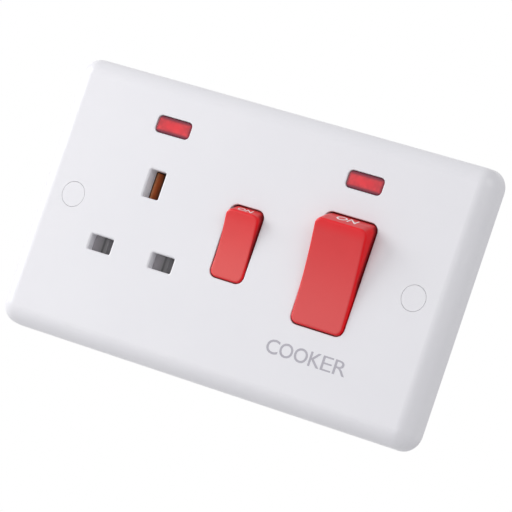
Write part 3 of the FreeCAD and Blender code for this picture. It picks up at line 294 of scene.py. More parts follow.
# %% Where a rocker is side, rolled edge or end
TILTS = {"socket_rocker": math.radians(7.5), "cooker_rocker": math.radians(9.75)}
SIDE_TURN = {"start": 0.35, "end": 0.8}
EDGE_TURN = {"start": 0.80, "end": 0.965}
FACE_TURN = {"start": 0.35, "end": 0.6}


def rocker_turns(tree, tilt):
    """How much a place is side, rolled edge, and face rather than end: three values from 0 to 1."""
    normal = axes(tree, coordinates_of(tree)["Normal"])
    side = spread(tree, sum_of(tree, "ABSOLUTE", normal["X"]), 0.0, 1.0, **SIDE_TURN)
    forward = sum_of(tree, "MULTIPLY", normal["Y"], -math.cos(tilt))
    downward = sum_of(tree, "MULTIPLY", normal["Z"], -math.sin(tilt))
    front = sum_of(tree, "ADD", forward, downward)
    turned = spread(tree, front, 1.0, 0.0, **EDGE_TURN)
    face = spread(tree, front, 0.0, 1.0, **FACE_TURN)
    return side, sum_of(tree, "MULTIPLY", turned, face), face


print("rocker tilts:", [round(math.degrees(tilt), 2) for tilt in TILTS.values()], "degrees")

# %% [markdown]
# Some changes go by place and not by direction. Where a side dips into the gap it is painted darkest, a
# painted shade; the face pales a little towards its lower end, where the painted reflection grows, and
# near its upper end it is purest, with no reflection painted, as the picture shows. The rockers rest
# tipped, so places are first turned back about the pivot; then one rule fits both ends and both rockers.

# %% Where a rocker dips into the gap, and where it is high or low
PIVOT_Y = -3.2 * MM
PIVOT_DEPTH = 4.8 * MM
FOOT_FROM, FOOT_TO = PIVOT_DEPTH + 0.2 * MM, PIVOT_DEPTH + 2.2 * MM
CROWN = 4.5 * MM


def rocker_places(tree, tilt, half_length, crown_share):
    """How much a place is foot, crown and lower end: three values from 0 to 1."""
    untip = tree.nodes.new("ShaderNodeMapping")
    untip.vector_type = "TEXTURE"
    untip.inputs["Location"].default_value = (0, PIVOT_Y, 0)
    untip.inputs["Rotation"].default_value = (tilt, 0, 0)
    tree.links.new(coordinates_of(tree)["Object"], untip.inputs["Vector"])
    place = axes(tree, untip.outputs["Vector"])
    reach = sum_of(tree, "MULTIPLY", place["Y"], -math.cos(tilt))
    swing = sum_of(tree, "MULTIPLY", sum_of(tree, "ABSOLUTE", place["Z"]), math.sin(tilt))
    foot = spread(tree, sum_of(tree, "ADD", reach, swing), 1.0, 0.0, start=FOOT_FROM, end=FOOT_TO)
    crown = spread(tree, place["Z"], 0.0, crown_share, start=half_length - CROWN, end=half_length)
    lower = spread(tree, place["Z"], 1.0, 0.0, start=-half_length, end=half_length)
    return foot, crown, lower


print("rocker foot ends", round(FOOT_TO / MM, 1), "mm in front of the pivot")

# %% [markdown]
# The two sets of values now lay one red over another: first what goes by place, then the rolled edge,
# and the sides last, because they hide all else. Sides are also a little duller than faces. Both rockers
# share the rule, and each has its own half length, upper and lower red with the painted reflection in
# them, and share of pure red at the upper end, where no reflection is painted.

# %% Rockers
PURE_RED = opaque(0.80, 0.012, 0.020)
SIDE_RED = opaque(0.78, 0.001, 0.006)
# Painted shade where a side dips into the gap.
FOOT_SHADE_RED = opaque(0.22, 0.001, 0.004)
SIDE_DULLNESS = 0.2
SHADE = 0.97
# Upper and lower reds carry a painted reflection that pales the pigment, stronger towards the lower end.
ROCKER_SHEEN_REDS = {
    "socket_rocker": (10.4 * MM, (0.78, 0.056, 0.058), (0.745, 0.096, 0.091), 0.35),
    "cooker_rocker": (15.9 * MM, (0.72, 0.044, 0.048), (0.71, 0.082, 0.082), 0.75),
}


def rocker_finish(name, tilt, half_length, upper_sheen_red, lower_sheen_red, crown_share):
    """Faces and ends pale with painted reflection, rolled edge pure, sides deep and painted shade at their
    foot.
    """
    shade = tuple(SHADE * part for part in upper_sheen_red)
    material = finish(name, upper_sheen_red, shade, (0.30, 0.36), drift=8 * MM, lift=0.004, sheen=0.28)
    tree = material.node_tree
    foot, crown, lower = rocker_places(tree, tilt, half_length, crown_share)
    side, edge, face = rocker_turns(tree, tilt)
    pure = sum_of(tree, "MAXIMUM", edge, sum_of(tree, "MULTIPLY", crown, face))
    colour = blend(tree, lower, feed_of(tree, "Base Color"), opaque(*lower_sheen_red))
    colour = blend(tree, pure, colour, PURE_RED)
    colour = blend(tree, side, colour, SIDE_RED)
    feed(tree, "Base Color", blend(tree, sum_of(tree, "MULTIPLY", side, foot), colour, FOOT_SHADE_RED))
    dullness = sum_of(tree, "MULTIPLY", side, SIDE_DULLNESS)
    feed(tree, "Roughness", sum_of(tree, "ADD", feed_of(tree, "Roughness"), dullness))
    return material


for rocker, reds in ROCKER_SHEEN_REDS.items():
    dress(rocker_finish(rocker + "_red", TILTS[rocker], *reds), rocker)
print("rockers dressed:", len(ROCKER_SHEEN_REDS))

# %% [markdown]
# ## Neon windows
# Each window is a red translucent block with a small glass lamp lying behind it. Full glass would be
# slow and would go dark in the plate's hollow, so the window's light and shade are painted on: a painted
# glow over the lamp, blotched, and a painted shade along the border, where its thick walls run back into
# the plate. Lamp and border are found from the distance to the window's own middle.

# %% Lenses
FLANGE = 0.7 * MM
SIDE_FROM, SIDE_TO, SIDE_SHARE = 1.2 * MM, 0.4 * MM, 0.7
END_FROM, END_TO = 1.5 * MM, 0.5 * MM
LAMP_HALF_LENGTH, LAMP_REACH, LAMP_SHARE = 1.0 * MM, 0.8, 0.7
LAMP_HALF_HEIGHT, LAMP_RISE = 0.2 * MM, 0.6
# Painted glow over the lamp and painted shade along the border.
LIT_RED = opaque(0.78, 0.028, 0.042)
BORDER_SHADE_RED = opaque(0.17, 0.020, 0.040)


def neon_finish(name, low, high):
    """Red plastic with a painted glow over its lamp and painted shade along its border."""
    material = finish(
        name, (0.76, 0.050, 0.064), (0.54, 0.034, 0.048), (0.16, 0.24), drift=2.2 * MM, lift=0.03, sheen=0.3
    )
    tree = material.node_tree
    offset = tree.nodes.new("ShaderNodeVectorMath")
    offset.operation = "SUBTRACT"
    offset.inputs[1].default_value = (low + high) / 2
    tree.links.new(coordinates_of(tree)["Object"], offset.inputs[0])
    place = axes(tree, offset.outputs["Vector"])
    across, up = sum_of(tree, "ABSOLUTE", place["X"]), sum_of(tree, "ABSOLUTE", place["Z"])
    half = (high - low) / 2
    wide, tall = half.x - FLANGE, half.z - FLANGE
    side = spread(tree, across, 0.0, SIDE_SHARE, start=wide - SIDE_FROM, end=wide - SIDE_TO)
    end = spread(tree, up, 0.0, 1.0, start=tall - END_FROM, end=tall - END_TO)
    along_lamp = spread(tree, across, LAMP_SHARE, 0.0, start=LAMP_HALF_LENGTH, end=LAMP_REACH * half.x)
    over_lamp = spread(tree, up, 1.0, 0.0, start=LAMP_HALF_HEIGHT, end=LAMP_RISE * half.z)
    glow = sum_of(tree, "MULTIPLY", along_lamp, over_lamp)
    lit = blend(tree, glow, feed_of(tree, "Base Color"), LIT_RED)
    feed(tree, "Base Color", blend(tree, sum_of(tree, "MAXIMUM", side, end), lit, BORDER_SHADE_RED))
    return material


NEONS = ("socket", "cooker")
for neon in NEONS:
    low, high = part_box(neon + "_neon_lens")
    dress(neon_finish(neon + "_neon_red", Vector(low), Vector(high)), neon + "_neon_lens")
print("neon windows dressed:", len(NEONS))

# %% [markdown]
# The lamps are clear glass that has gone a little pink, and each has a brown resistor beside it. Both
# are hidden in the housing, so a plain finish is enough.

# %% Lamps and resistors
lamp_glass = finish("lamp_glass", (0.85, 0.62, 0.55), (0.78, 0.55, 0.5), (0.05, 0.1))
dress(lamp_glass, *[neon + "_neon_lamp" for neon in NEONS])
resistor_body = finish(
    "resistor_body", (0.52, 0.40, 0.27), (0.44, 0.33, 0.22), (0.45, 0.6), drift=1.5 * MM
)
dress(resistor_body, "neon_resistors")
print("lamps and resistors dressed")

# %% [markdown]
# ## Metals
# Contacts are stamped from copper alloy, terminals are cut from brass bar, and the screws are zinc
# plated. Drawn and turned metal carries fine lines, so the grain is stretched along the strip instead of
# round blobs. The copper has stood in air and lost its mirror, so it is only partly metallic to the
# shader.

# %% Copper, brass and steel
def metal(name, light, dark, gloss, stretch, shine=1.0):
    """A finish with drawn lines, as metallic as `shine` says."""
    material = finish(name, light, dark, gloss, drift=3 * MM, grain=0.25 * MM, lift=0.15, stretch=stretch)
    material.node_tree.nodes["Principled BSDF"].inputs["Metallic"].default_value = shine
    return material


ALONG_Z, ALONG_Y, ALONG_X, EVERY_WAY = (1, 1, 0.15), (1, 0.1, 1), (0.2, 1, 1), (1, 1, 1)
contact_copper = metal(
    "contact_copper", (0.86, 0.40, 0.22), (0.70, 0.30, 0.15), (0.35, 0.5), ALONG_Z, shine=0.6
)
dress(contact_copper, "line_busbar", "neutral_busbar", *[pole + "_moving_contact" for pole in POLES])
contact_brass = metal("contact_brass", (0.76, 0.58, 0.29), (0.71, 0.53, 0.26), (0.28, 0.38), ALONG_Y)
BLOCKS = [wire + "_" + end + "_terminal" for wire in ("neutral", "line") for end in ("load", "supply")]
dress(contact_brass, "line_contact", "neutral_contact", "earth_bar", *BLOCKS)
zinc_steel = metal("zinc_steel", (0.66, 0.66, 0.63), (0.54, 0.54, 0.52), (0.25, 0.38), ALONG_X)
dress(zinc_steel, "terminal_screws")
spring_steel = metal("spring_steel", (0.55, 0.55, 0.56), (0.45, 0.45, 0.46), (0.3, 0.4), EVERY_WAY)
print("copper, brass and steel ready")

# %% [markdown]
# The earth contact is the one piece of metal that the front shows. A highlight is painted bright at its
# mouth; further in it is orange, and then darker, a painted shade deep in the slot. The outer half of its
# sheared edge is painted black, a painted shadow in the gap beside the slot wall. A second and a third
# metal would leave hard seams, so one finish changes with the depth from the mouth, and the edge is found
# by the way that it looks.

# %% Earth contact
# Painted highlight at the mouth, painted shade further in, and painted shadow on the outer sheared edge.
HIGHLIGHT_DEPTH, DEPTH_SHADE_FROM, DEPTH_SHADE_TO = 1.0 * MM, 0.9 * MM, 3.2 * MM
BURR_FROM, BURR_TO = 2.85 * MM, 3.15 * MM
SHEARED_TURN = {"start": -0.9, "end": -0.5}
ORANGE, DEPTH_SHADE_COPPER, GAP_SHADOW_BLACK = opaque(0.86, 0.23, 0.075), opaque(0.27, 0.13, 0.075), opaque(0.06, 0.025, 0.015)
earth_copper = metal(
    "earth_copper", (0.98, 0.44, 0.20), (0.92, 0.38, 0.16), (0.4, 0.55), ALONG_Z, shine=0.35
)
tree = earth_copper.node_tree
mouth = Vector(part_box("earth_contact")[0]).y
place = axes(tree, coordinates_of(tree)["Object"])
past_highlight = spread(tree, place["Y"], 0.0, 1.0, start=mouth, end=mouth + HIGHLIGHT_DEPTH)
deep = spread(tree, place["Y"], 0.0, 1.0, start=mouth + DEPTH_SHADE_FROM, end=mouth + DEPTH_SHADE_TO)
from_pin = sum_of(tree, "ABSOLUTE", sum_of(tree, "SUBTRACT", place["X"], SOCKET_X))
outer = spread(tree, from_pin, 0.0, 1.0, start=BURR_FROM, end=BURR_TO)
normal = axes(tree, coordinates_of(tree)["Normal"])
sheared = spread(tree, normal["Y"], 1.0, 0.0, **SHEARED_TURN)
copper = blend(tree, past_highlight, feed_of(tree, "Base Color"), ORANGE)
copper = blend(tree, deep, copper, DEPTH_SHADE_COPPER)
feed(tree, "Base Color", blend(tree, sum_of(tree, "MULTIPLY", sheared, outer), copper, GAP_SHADOW_BLACK))
dress(earth_copper, "earth_contact")
print("earth contact dressed")

# %% [markdown]
# ## Spring coils
# Four coil springs work inside: one behind each plunger and one that closes the shutter. A solid spring
# keeps its length, so its coils would cut into the piece that pushes on it. A real one closes up. Here
# each coil is a copy of the solid's skin that rides one body, with a mesh of its own, and keeps its
# length. Letting its two ends follow two bodies would also work, but that squeezes the middle turns
# most, until they run into each other.

# %% Coils that ride their bodies
CARRIERS = {"socket": "socket_rocker", "cooker_neutral": "cooker_rocker", "cooker_line": "cooker_rocker"}


def live_spring(node, body):
    """A copy of a coil that rides one body."""
    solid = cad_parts[node]
    coil = bpy.data.objects.new(node + "_coil", solid.data.copy())
    coil.matrix_world = solid.matrix_world
    bpy.context.collection.objects.link(coil)
    coil.data.materials.clear()
    coil.data.materials.append(spring_steel)
    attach(coil, body)
    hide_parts(node)
    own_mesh(coil)


for pole, carrier in CARRIERS.items():
    spring, joint = pole + "_plunger_spring", pole + "_plunger_slide"
    live_spring(spring, carrier)
live_spring("shutter_spring", "frame")
print("live springs:", len(CARRIERS) + 1)

# %% [markdown]
# ## Screws of the housing
# Four self-tapping screws hold the housing to the plate. The solids are plain pins with a flat head,
# which is enough for what they weigh, but the heads are seen from behind. A bought screw has a domed
# head with a cross recess and a coarse thread. Its skin is spun ring by ring about a line along Y, with
# the radius of the shank rising and falling along a screw line. It is drawn in millimetres, because
# cutting works best near unit size.

# %% A threaded screw with a domed head
HEAD_RADIUS = 2.5
HEAD_HEIGHT = 1.8
DOME = 1.0
DOME_STEPS = 6
FLAT_SHARE = 0.35
SHANK_RADIUS = 1.4
POINT_RADIUS = 0.25
POINT_LENGTH = 0.6
THREAD_PITCH = 1.1
THREAD_DEPTH = 0.35
THREAD_STEP = THREAD_PITCH / 8
THREAD_START, PLAIN_LENGTH = 0.7, 1.2
RING_POINTS = 40


def screw_profile(tip, back):
    """Rows of (y, radius, threaded) from the tip of the shank to the dome of the head."""
    seat = back - HEAD_HEIGHT
    core = SHANK_RADIUS - THREAD_DEPTH
    rows = [(tip, POINT_RADIUS, False), (tip + POINT_LENGTH, core, False)]
    for step in range(int((seat - tip - PLAIN_LENGTH) / THREAD_STEP)):
        rows.append((tip + THREAD_START + step * THREAD_STEP, SHANK_RADIUS, True))
    rows += [(seat, core, False), (seat, HEAD_RADIUS, False), (back - DOME, HEAD_RADIUS, False)]
    for step in range(1, DOME_STEPS + 1):
        turn = step / DOME_STEPS * math.pi / 2
        reach = HEAD_RADIUS * (FLAT_SHARE + (1 - FLAT_SHARE) * math.cos(turn))
        rows.append((back - DOME * (1 - math.sin(turn)), reach, False))
    return rows


def join_rings(shape, rings, closed=False):
    """Skin over rings of equally many points, capped unless the last ring meets the first."""
    count = len(rings[0])
    pairs = zip(rings, rings[1:] + rings[:1]) if closed else zip(rings, rings[1:])
    for first, second in pairs:
        for point in range(count):
            after = (point + 1) % count
            shape.faces.new((first[point], second[point], second[after], first[after]))
    if not closed:
        shape.faces.new(rings[0])
        shape.faces.new(rings[-1])


def spin(shape, rows, x, z):
    """One closed screw skin about a line along Y."""
    rings = []
    for y, radius, threaded in rows:
        ring = []
        for point in range(RING_POINTS):
            turn = point / RING_POINTS
            groove = abs(2 * ((y / THREAD_PITCH - turn) % 1.0) - 1) if threaded else 0.0
            reach, angle = radius - THREAD_DEPTH * groove, 2 * math.pi * turn
            ring.append(shape.verts.new((x + reach * math.cos(angle), y, z + reach * math.sin(angle))))
        rings.append(ring)
    join_rings(shape, rings)


def mesh_piece(name, fill, *given):
    """A new object whose mesh is filled by a function."""
    mesh = bpy.data.meshes.new(name)
    shape = bmesh.new()
    fill(shape, *given)
    bmesh.ops.recalc_face_normals(shape, faces=shape.faces)
    shape.to_mesh(mesh)
    shape.free()
    piece = bpy.data.objects.new(name, mesh)
    bpy.context.collection.objects.link(piece)
    return piece


print("screw shape ready")

# %% [markdown]
# The recess is a plus sign that narrows towards the shank. Cutting it out with a Boolean keeps the head
# a closed body, where a dark picture of a cross would look flat from the side.

# %% Cut the cross recesses and put the screws in place
ARM = 1.25
ARM_WIDTH = 0.32
RECESS_DEPTH = 1.1
CUTTER_OVER = 0.4
CUTTER_TAPER = 0.5
PLUS = (
    (ARM_WIDTH, ARM_WIDTH), (ARM, ARM_WIDTH), (ARM, -ARM_WIDTH), (ARM_WIDTH, -ARM_WIDTH),
    (ARM_WIDTH, -ARM), (-ARM_WIDTH, -ARM), (-ARM_WIDTH, -ARM_WIDTH), (-ARM, -ARM_WIDTH),
    (-ARM, ARM_WIDTH), (-ARM_WIDTH, ARM_WIDTH), (-ARM_WIDTH, ARM), (ARM_WIDTH, ARM),
)
screw_low, screw_high = (Vector(corner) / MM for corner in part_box("housing_screws"))
SCREW_X, SCREW_Z = screw_high.x - HEAD_RADIUS, screw_high.z - HEAD_RADIUS
CORNERS = [(across, up) for across in (-1, 1) for up in (-1, 1)]
SCREW_SPOTS = [(across * SCREW_X, up * SCREW_Z) for across, up in CORNERS]
SHARP_FROM = math.radians(35)


def fill_screws(shape):
    rows = screw_profile(screw_low.y, screw_high.y)
    for x, z in SCREW_SPOTS:
        spin(shape, rows, x, z)


def fill_crosses(shape):
    for x, z in SCREW_SPOTS:
        rings = []
        top, bottom = screw_high.y + CUTTER_OVER, screw_high.y - RECESS_DEPTH
        for y, share in ((top, 1.0), (bottom, CUTTER_TAPER)):
            rings.append([shape.verts.new((x + share * a, y, z + share * b)) for a, b in PLUS])
        join_rings(shape, rings)


screws = mesh_piece("housing_cross_screws", fill_screws)
crosses = mesh_piece("cross_cutters", fill_crosses)
cut = screws.modifiers.new("cross_recess", "BOOLEAN")
cut.object = crosses
cut.operation = "DIFFERENCE"
cut.solver = "EXACT"
bpy.context.view_layer.update()
cut_mesh = bpy.data.meshes.new_from_object(screws.evaluated_get(bpy.context.evaluated_depsgraph_get()))
screws.modifiers.clear()
screws.data = cut_mesh
bpy.data.objects.remove(crosses)
cut_mesh.transform(Matrix.Scale(MM, 4))
cut_mesh.materials.clear()
cut_mesh.materials.append(zinc_steel)
for polygon in cut_mesh.polygons:
    polygon.use_smooth = True
cut_mesh.set_sharp_from_angle(angle=SHARP_FROM)
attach(screws, "frame")
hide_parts("housing_screws")
print("housing screws:", len(cut_mesh.polygons), "faces")

# %% [markdown]
# ## Lettering
# The function word under the cooker switch and the ON marks at the top of each rocker are printed: a
# very thin film that stands a hair above the plastic. A decal image could do it, but type turned into a
# thin solid stays sharp at any size. The words are plain type that only says what the switch does. Each
# is first made to fill a unit box, and then stretched to its measured size. A letter that is drawn wider
# also gets a thicker stem, so its weight is set apart.

# %% Type as a thin solid
CURVE_STEPS = 4
FILM = 0.04 * MM


def ink(name, colour, deep):
    """A printed film, a little uneven in colour and gloss."""
    return finish(name, colour, deep, (0.35, 0.5), drift=2 * MM, grain=0.2 * MM, lift=0.05)


def unit_type(word, weight):
    """Type as a mesh that fills a box of 1 by 1, with its middle at the origin."""
    curve = bpy.data.curves.new(word, "FONT")
    curve.body = word
    curve.align_x = "CENTER"
    curve.size = 1.0
    curve.offset = weight
    curve.extrude = 0.5
    curve.resolution_u = CURVE_STEPS
    text = bpy.data.objects.new(word + "_type", curve)
    bpy.context.collection.objects.link(text)
    bpy.context.view_layer.update()
    mesh = bpy.data.meshes.new_from_object(text.evaluated_get(bpy.context.evaluated_depsgraph_get()))
    bpy.data.objects.remove(text)
    xs = [vertex.co.x for vertex in mesh.vertices]
    ys = [vertex.co.y for vertex in mesh.vertices]
    middle = Vector(((max(xs) + min(xs)) / 2, (max(ys) + min(ys)) / 2, 0))
    mesh.transform(Matrix.Translation(-middle))
    mesh.transform(Matrix.Diagonal((1 / (max(xs) - min(xs)), 1 / (max(ys) - min(ys)), 1, 1)))
    return mesh


def raised_word(
    name, word, height, width, place, across, up, body, material, weight=0.0, film=FILM, spans=None
):
    """Type of a given height and width on a surface, whole or with a span and a weight for each letter."""
    turn = Matrix((across, up, across.cross(up))).transposed().to_4x4()
    shape = bmesh.new()
    parts = [(word, 0.0, 1.0, weight)]
    if spans is not None:
        parts = [(letter, *span) for letter, span in zip(word, spans)]
    for part, start, end, stroke in parts:
        mesh = unit_type(part, stroke)
        mesh.transform(Matrix.Diagonal(((end - start) * width, height, 2 * film, 1)))
        mesh.transform(Matrix.Translation(Vector((((start + end) / 2 - 0.5) * width, 0, 0))))
        mesh.transform(Matrix.Translation(Vector(place)) @ turn)
        shape.from_mesh(mesh)
    mesh = bpy.data.meshes.new(name)
    shape.to_mesh(mesh)
    shape.free()
    piece = bpy.data.objects.new(name, mesh)
    bpy.context.collection.objects.link(piece)
    mesh.materials.append(material)
    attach(piece, body)
    return piece


print("type builders ready")

# %% [markdown]
# The word is printed in a grey ink on the flat face. It could be set in one go, but the letters of the
# real print are wider and set differently from this type. So each letter has its own span, as a share of
# the word's width, and its own weight.

# %% Function word
FACE_Y = Vector(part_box("front_plate")[0]).y
ACROSS = Vector((1, 0, 0))
UP = Vector((0, 0, 1))
grey_ink = ink("grey_ink", (0.45, 0.435, 0.485), (0.42, 0.405, 0.455))
WORD_PLACE, WORD_HEIGHT, WORD_WIDTH = (33.5 * MM, FACE_Y, -25.9 * MM), 4.4 * MM, 27.4 * MM
WORD_SPANS = (
    (0, 0.153, 0.007), (0.166, 0.332, 0.007), (0.349, 0.516, 0.007),
    (0.538, 0.682, 0.005), (0.694, 0.825, -0.008), (0.847, 1.0, -0.002),
)
raised_word(
    "function_word", "COOKER", WORD_HEIGHT, WORD_WIDTH, WORD_PLACE, ACROSS, UP, "frame", grey_ink,
    spans=WORD_SPANS,
)
print("function word printed,", len(WORD_SPANS), "letters")

# %% [markdown]
# The ON marks lie on the upper end of each rocker. That end is not flat: it bends back from the front
# edge towards the gap, so flat type would sink into it or float. The type is cut where the end bends,
# and then each point is laid at its own distance along the end. The rocker rests tipped, so all is
# turned about its pivot.

# %% ON marks
def along(profile, distance):
    """Point and outward direction at a distance along a profile of (height, reach from the pivot)."""
    for first, second in zip(profile, profile[1:]):
        step = Vector(second) - Vector(first)
        if distance <= step.length or second is profile[-1]:
            way = step.normalized()
            return Vector(first) + way * distance, Vector((-way.y, way.x))
        distance -= step.length


def bend_type(mesh, profile, centre, place, tilt):
    """Lay flat type along the bent end of a rocker."""
    shape = bmesh.new()
    shape.from_mesh(mesh)
    travelled = 0.0
    for first, second in zip(profile, profile[1:]):
        travelled += (Vector(second) - Vector(first)).length
        cut_at = Vector((0, travelled - centre, 0))
        everything = shape.verts[:] + shape.edges[:] + shape.faces[:]
        bmesh.ops.bisect_plane(shape, geom=everything, plane_co=cut_at, plane_no=(0, 1, 0))
    about = Matrix.Rotation(tilt, 3, "X")
    for vertex in shape.verts:
        across, run, rise = vertex.co
        point, out = along(profile, centre + run)
        point = point + out * rise
        vertex.co = Vector(place) + about @ Vector((across, -point.y, point.x))
    shape.to_mesh(mesh)
    shape.free()


MARK_WEIGHT = 0.008
white_ink = ink("white_ink", (0.84, 0.80, 0.80), (0.78, 0.74, 0.74))


def rocker_mark(body, x, profile, centre, height, width):
    """ON on the upper end of a rocker, with all measures in millimetres."""
    profile = [Vector((z * MM, reach * MM)) for z, reach in profile]
    mark = raised_word(
        body + "_on_mark", "ON", height * MM, width * MM, (0, 0, 0), ACROSS, Vector((0, 1, 0)), body,
        white_ink, weight=MARK_WEIGHT,
    )
    bend_type(mark.data, profile, centre * MM, (x * MM, PIVOT_Y, 0), TILTS[body])


SOCKET_END = ((10.45, 6.6), (10.80, 5.0), (11.64, 2.5), (11.907, 0))
COOKER_END = ((15.95, 8.25), (16.98, 5.0), (17.53, 2.5), (17.705, 0))
rocker_mark("socket_rocker", x=-1.0, profile=SOCKET_END, centre=2.3, height=2.0, width=5.0)
rocker_mark("cooker_rocker", x=33.0, profile=COOKER_END, centre=4.1, height=3.2, width=7.0)
print("ON marks printed")

# %% [markdown]
# ## What the mould leaves behind
# The back of the unit is never polished. Round witness rings show where pins pushed the moulding out of
# its mould. A bump map would be lighter, but vanishes at a low angle. So the rings are spun from a flat
# bead that stands on the surface and catches the light.

# %% Ejector rings
BEAD = 0.35 * MM
RISE = 0.16 * MM
SUNK = 0.03 * MM
BEAD_SECTION = ((-BEAD, -SUNK), (-BEAD / 2, RISE), (BEAD / 2, RISE), (BEAD, -SUNK))


def fill_beads(shape, spots, y, radius):
    """Low beads round circles, standing towards +Y."""
    for x, z in spots:
        rings = []
        for out, lift in BEAD_SECTION:
            reach = radius + out
            angles = [2 * math.pi * point / RING_POINTS for point in range(RING_POINTS)]
            rings.append([
                shape.verts.new((x + reach * math.cos(angle), y + lift, z + reach * math.sin(angle)))
                for angle in angles
            ])
        join_rings(shape, rings, closed=True)


def ejector_rings(name, spots, y, radius, material):
    """The rings of one moulding."""
    rings = mesh_piece(name, fill_beads, spots, y, radius)
    rings.data.materials.append(material)
    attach(rings, "frame")


HOUSING_STEP = 5 * MM
BACK_Y = Vector(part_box("rear_housing")[1]).y - HOUSING_STEP
INNER_Y = -5 * MM
HOUSING_PIN, PLATE_PIN = 2.4 * MM, 1.6 * MM
HOUSING_RINGS = [(x * MM, z * MM) for x in (-42, -14, 14, 42) for z in (-8, 8)]
PLATE_SPOTS = ((63, 24), (24, 37.3), (52, 37.3))
PLATE_RINGS = [(a * x * MM, b * z * MM) for x, z in PLATE_SPOTS for a, b in CORNERS]
ejector_rings("housing_ejector_rings", HOUSING_RINGS, BACK_Y, HOUSING_PIN, housing_white)
ejector_rings("plate_ejector_rings", PLATE_RINGS, INNER_Y, PLATE_PIN, plate_white)
print("ejector rings:", len(HOUSING_RINGS) + len(PLATE_RINGS))

# %% [markdown]
# Small raised letters beside the terminals say which conductor goes where: L, N and E, as on any wiring
# accessory. They are moulded with the housing, so they take its own finish and stand higher than print.
# Seen from behind, left and right change places, so the type runs along -X.

# %% Terminal letters
BACK_ACROSS = Vector((-1, 0, 0))
LETTER_ROW, NEUTRAL_X, LINE_X = 15.5 * MM, 26.25 * MM, 40.25 * MM
LETTER_HEIGHT, LETTER_WIDTH, LETTER_FILM, LETTER_WEIGHT = 4.2 * MM, 3.2 * MM, 0.4 * MM, 0.02
LETTERS = (
    ("earth", "E", SOCKET_X, LETTER_ROW),
    ("neutral_load", "N", NEUTRAL_X, LETTER_ROW),
    ("line_load", "L", LINE_X, LETTER_ROW),
    ("neutral_supply", "N", NEUTRAL_X, -LETTER_ROW),
    ("line_supply", "L", LINE_X, -LETTER_ROW),
)
for conductor, letter, x, z in LETTERS:
    raised_word(
        conductor + "_letter", letter, LETTER_HEIGHT, LETTER_WIDTH, (x, BACK_Y, z), BACK_ACROSS, UP,
        "frame", housing_white, weight=LETTER_WEIGHT, film=LETTER_FILM,
    )
print("terminal letters:", len(LETTERS))

# %% [markdown]
# ## The studio
# The photo is a plain product picture: everything behind the object is white and the light is broad and
# soft, a little stronger from the left. A white card behind would take shadows and go grey. A white
# world that only the camera, mirrors and glass see stays clean, without pouring more light on the
# plastic.

# %% Background
bpy.context.scene.view_settings.view_transform = "Standard"
AMBIENT = 0.48
world = bpy.data.worlds.new("studio")
bpy.context.scene.world = world
world.use_nodes = True
tree = world.node_tree
tree.nodes.clear()
output = tree.nodes.new("ShaderNodeOutputWorld")
ambient = tree.nodes.new("ShaderNodeBackground")
ambient.inputs["Color"].default_value = (0.97, 0.97, 1.0, 1)
ambient.inputs["Strength"].default_value = AMBIENT
white = tree.nodes.new("ShaderNodeBackground")
white.inputs["Color"].default_value = (1, 1, 1, 1)
white.inputs["Strength"].default_value = 1.0
path = tree.nodes.new("ShaderNodeLightPath").outputs
seen = sum_of(tree, "MAXIMUM", path["Is Camera Ray"], path["Is Transmission Ray"])
mirrored = sum_of(tree, "MAXIMUM", seen, path["Is Glossy Ray"])
choose = tree.nodes.new("ShaderNodeMixShader")
tree.links.new(mirrored, choose.inputs["Fac"])
tree.links.new(ambient.outputs["Background"], choose.inputs[1])
tree.links.new(white.outputs["Background"], choose.inputs[2])
tree.links.new(choose.outputs["Shader"], output.inputs["Surface"])
print("white background, ambient light", AMBIENT)

# %% [markdown]
# The picture shows no floor, but other views look empty without one. The unit hangs on a wall, so a pale
# disc lies well below it and only takes a faint shadow. It belongs to the studio and not to the object.

# %% Floor
FLOOR_RADIUS, FLOOR_Z, FLOOR_EDGES = 0.5, -0.16, 96


def fill_floor(shape):
    bmesh.ops.create_circle(shape, cap_ends=True, segments=FLOOR_EDGES, radius=FLOOR_RADIUS)


floor_pale = finish("floor_pale", (0.90, 0.90, 0.90), (0.88, 0.88, 0.88), (0.6, 0.7), drift=60 * MM)
floor = mesh_piece("floor", fill_floor)
floor.location = (0, 0, FLOOR_Z)
floor.data.materials.append(floor_pale)
floor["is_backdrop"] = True
print("floor at Z", FLOOR_Z)

# %% [markdown]
# Soft boxes make soft edges: the larger the box and the nearer it stands, the softer the shadow. One
# stands far to the left and rakes the plate, which is brightest at that end. A weaker one fills from the
# front, and one from the upper right keeps the right wall and the sides of the rockers from going dark.
# A single lamp would leave one of these sides too dark.

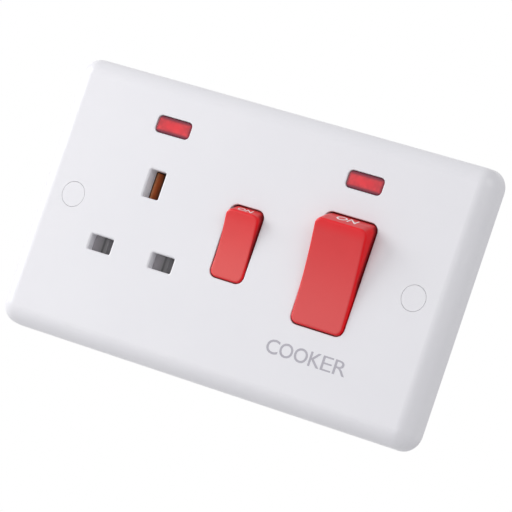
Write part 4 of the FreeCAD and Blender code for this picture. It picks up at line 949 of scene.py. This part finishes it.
# %% Lights
def soft_light(name, place, size, power):
    """A square soft box that looks at the plate."""
    lamp = bpy.data.lights.new(name, "AREA")
    lamp.shape = "SQUARE"
    lamp.size = size
    lamp.energy = power
    box = bpy.data.objects.new(name, lamp)
    bpy.context.collection.objects.link(box)
    box.location = place
    box.rotation_euler = (-Vector(place)).to_track_quat("-Z", "Y").to_euler()


SOFT_BOXES = (
    ("side_box", (-0.75, -0.34, 0.2), 0.45, 4.3),
    ("low_left_box", (-0.6, -1.1, -0.12), 0.9, 2.0),
    ("right_box", (0.8, -0.6, 0.6), 0.7, 2.7),
)
for soft_box in SOFT_BOXES:
    soft_light(*soft_box)
print("soft boxes:", len(SOFT_BOXES))

# %% [markdown]
# ## The camera
# The picture was taken from the right and a little below, with the camera rolled, through a long lens.
# The numbers were found by matching the plate's corners and the switch openings, so that the render lies
# over the photo; setting it by eye would be off by a few pixels everywhere.

# %% Camera
AZIMUTH, ELEVATION, ROLL = math.radians(27.93), math.radians(-3.17), math.radians(18.77)
DISTANCE = 0.9726
TARGET = Vector((2.62 * MM, 0, -1.23 * MM))
FOCAL_PIXELS, FRAME_PIXELS, SENSOR = 3235.8, 512, 36
back = Vector((
    math.sin(AZIMUTH) * math.cos(ELEVATION),
    -math.cos(AZIMUTH) * math.cos(ELEVATION),
    math.sin(ELEVATION),
))
right = Vector((math.cos(AZIMUTH), math.sin(AZIMUTH), 0))
upward = back.cross(right)
rolled_right = right * math.cos(ROLL) + upward * math.sin(ROLL)
rolled_up = upward * math.cos(ROLL) - right * math.sin(ROLL)
camera_data = bpy.data.cameras.new("photo_camera")
camera_data.sensor_width = SENSOR
camera_data.lens = FOCAL_PIXELS / FRAME_PIXELS * SENSOR
camera = bpy.data.objects.new("photo_camera", camera_data)
bpy.context.collection.objects.link(camera)
camera.matrix_world = Matrix.Translation(TARGET + back * DISTANCE) @ Matrix(
    (rolled_right, rolled_up, back)
).transposed().to_4x4()
bpy.context.scene.camera = camera
print("camera set, lens", round(camera_data.lens, 1), "mm")

# %% [markdown]
# ## Closing
# All that was added should stay within the solids, or close to them. So the size of the dressed model is
# printed, and a piece that grew too far shows up.

# %% Size of the dressed model
low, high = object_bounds()
print("visual box", [round(v, 4) for v in high - low])
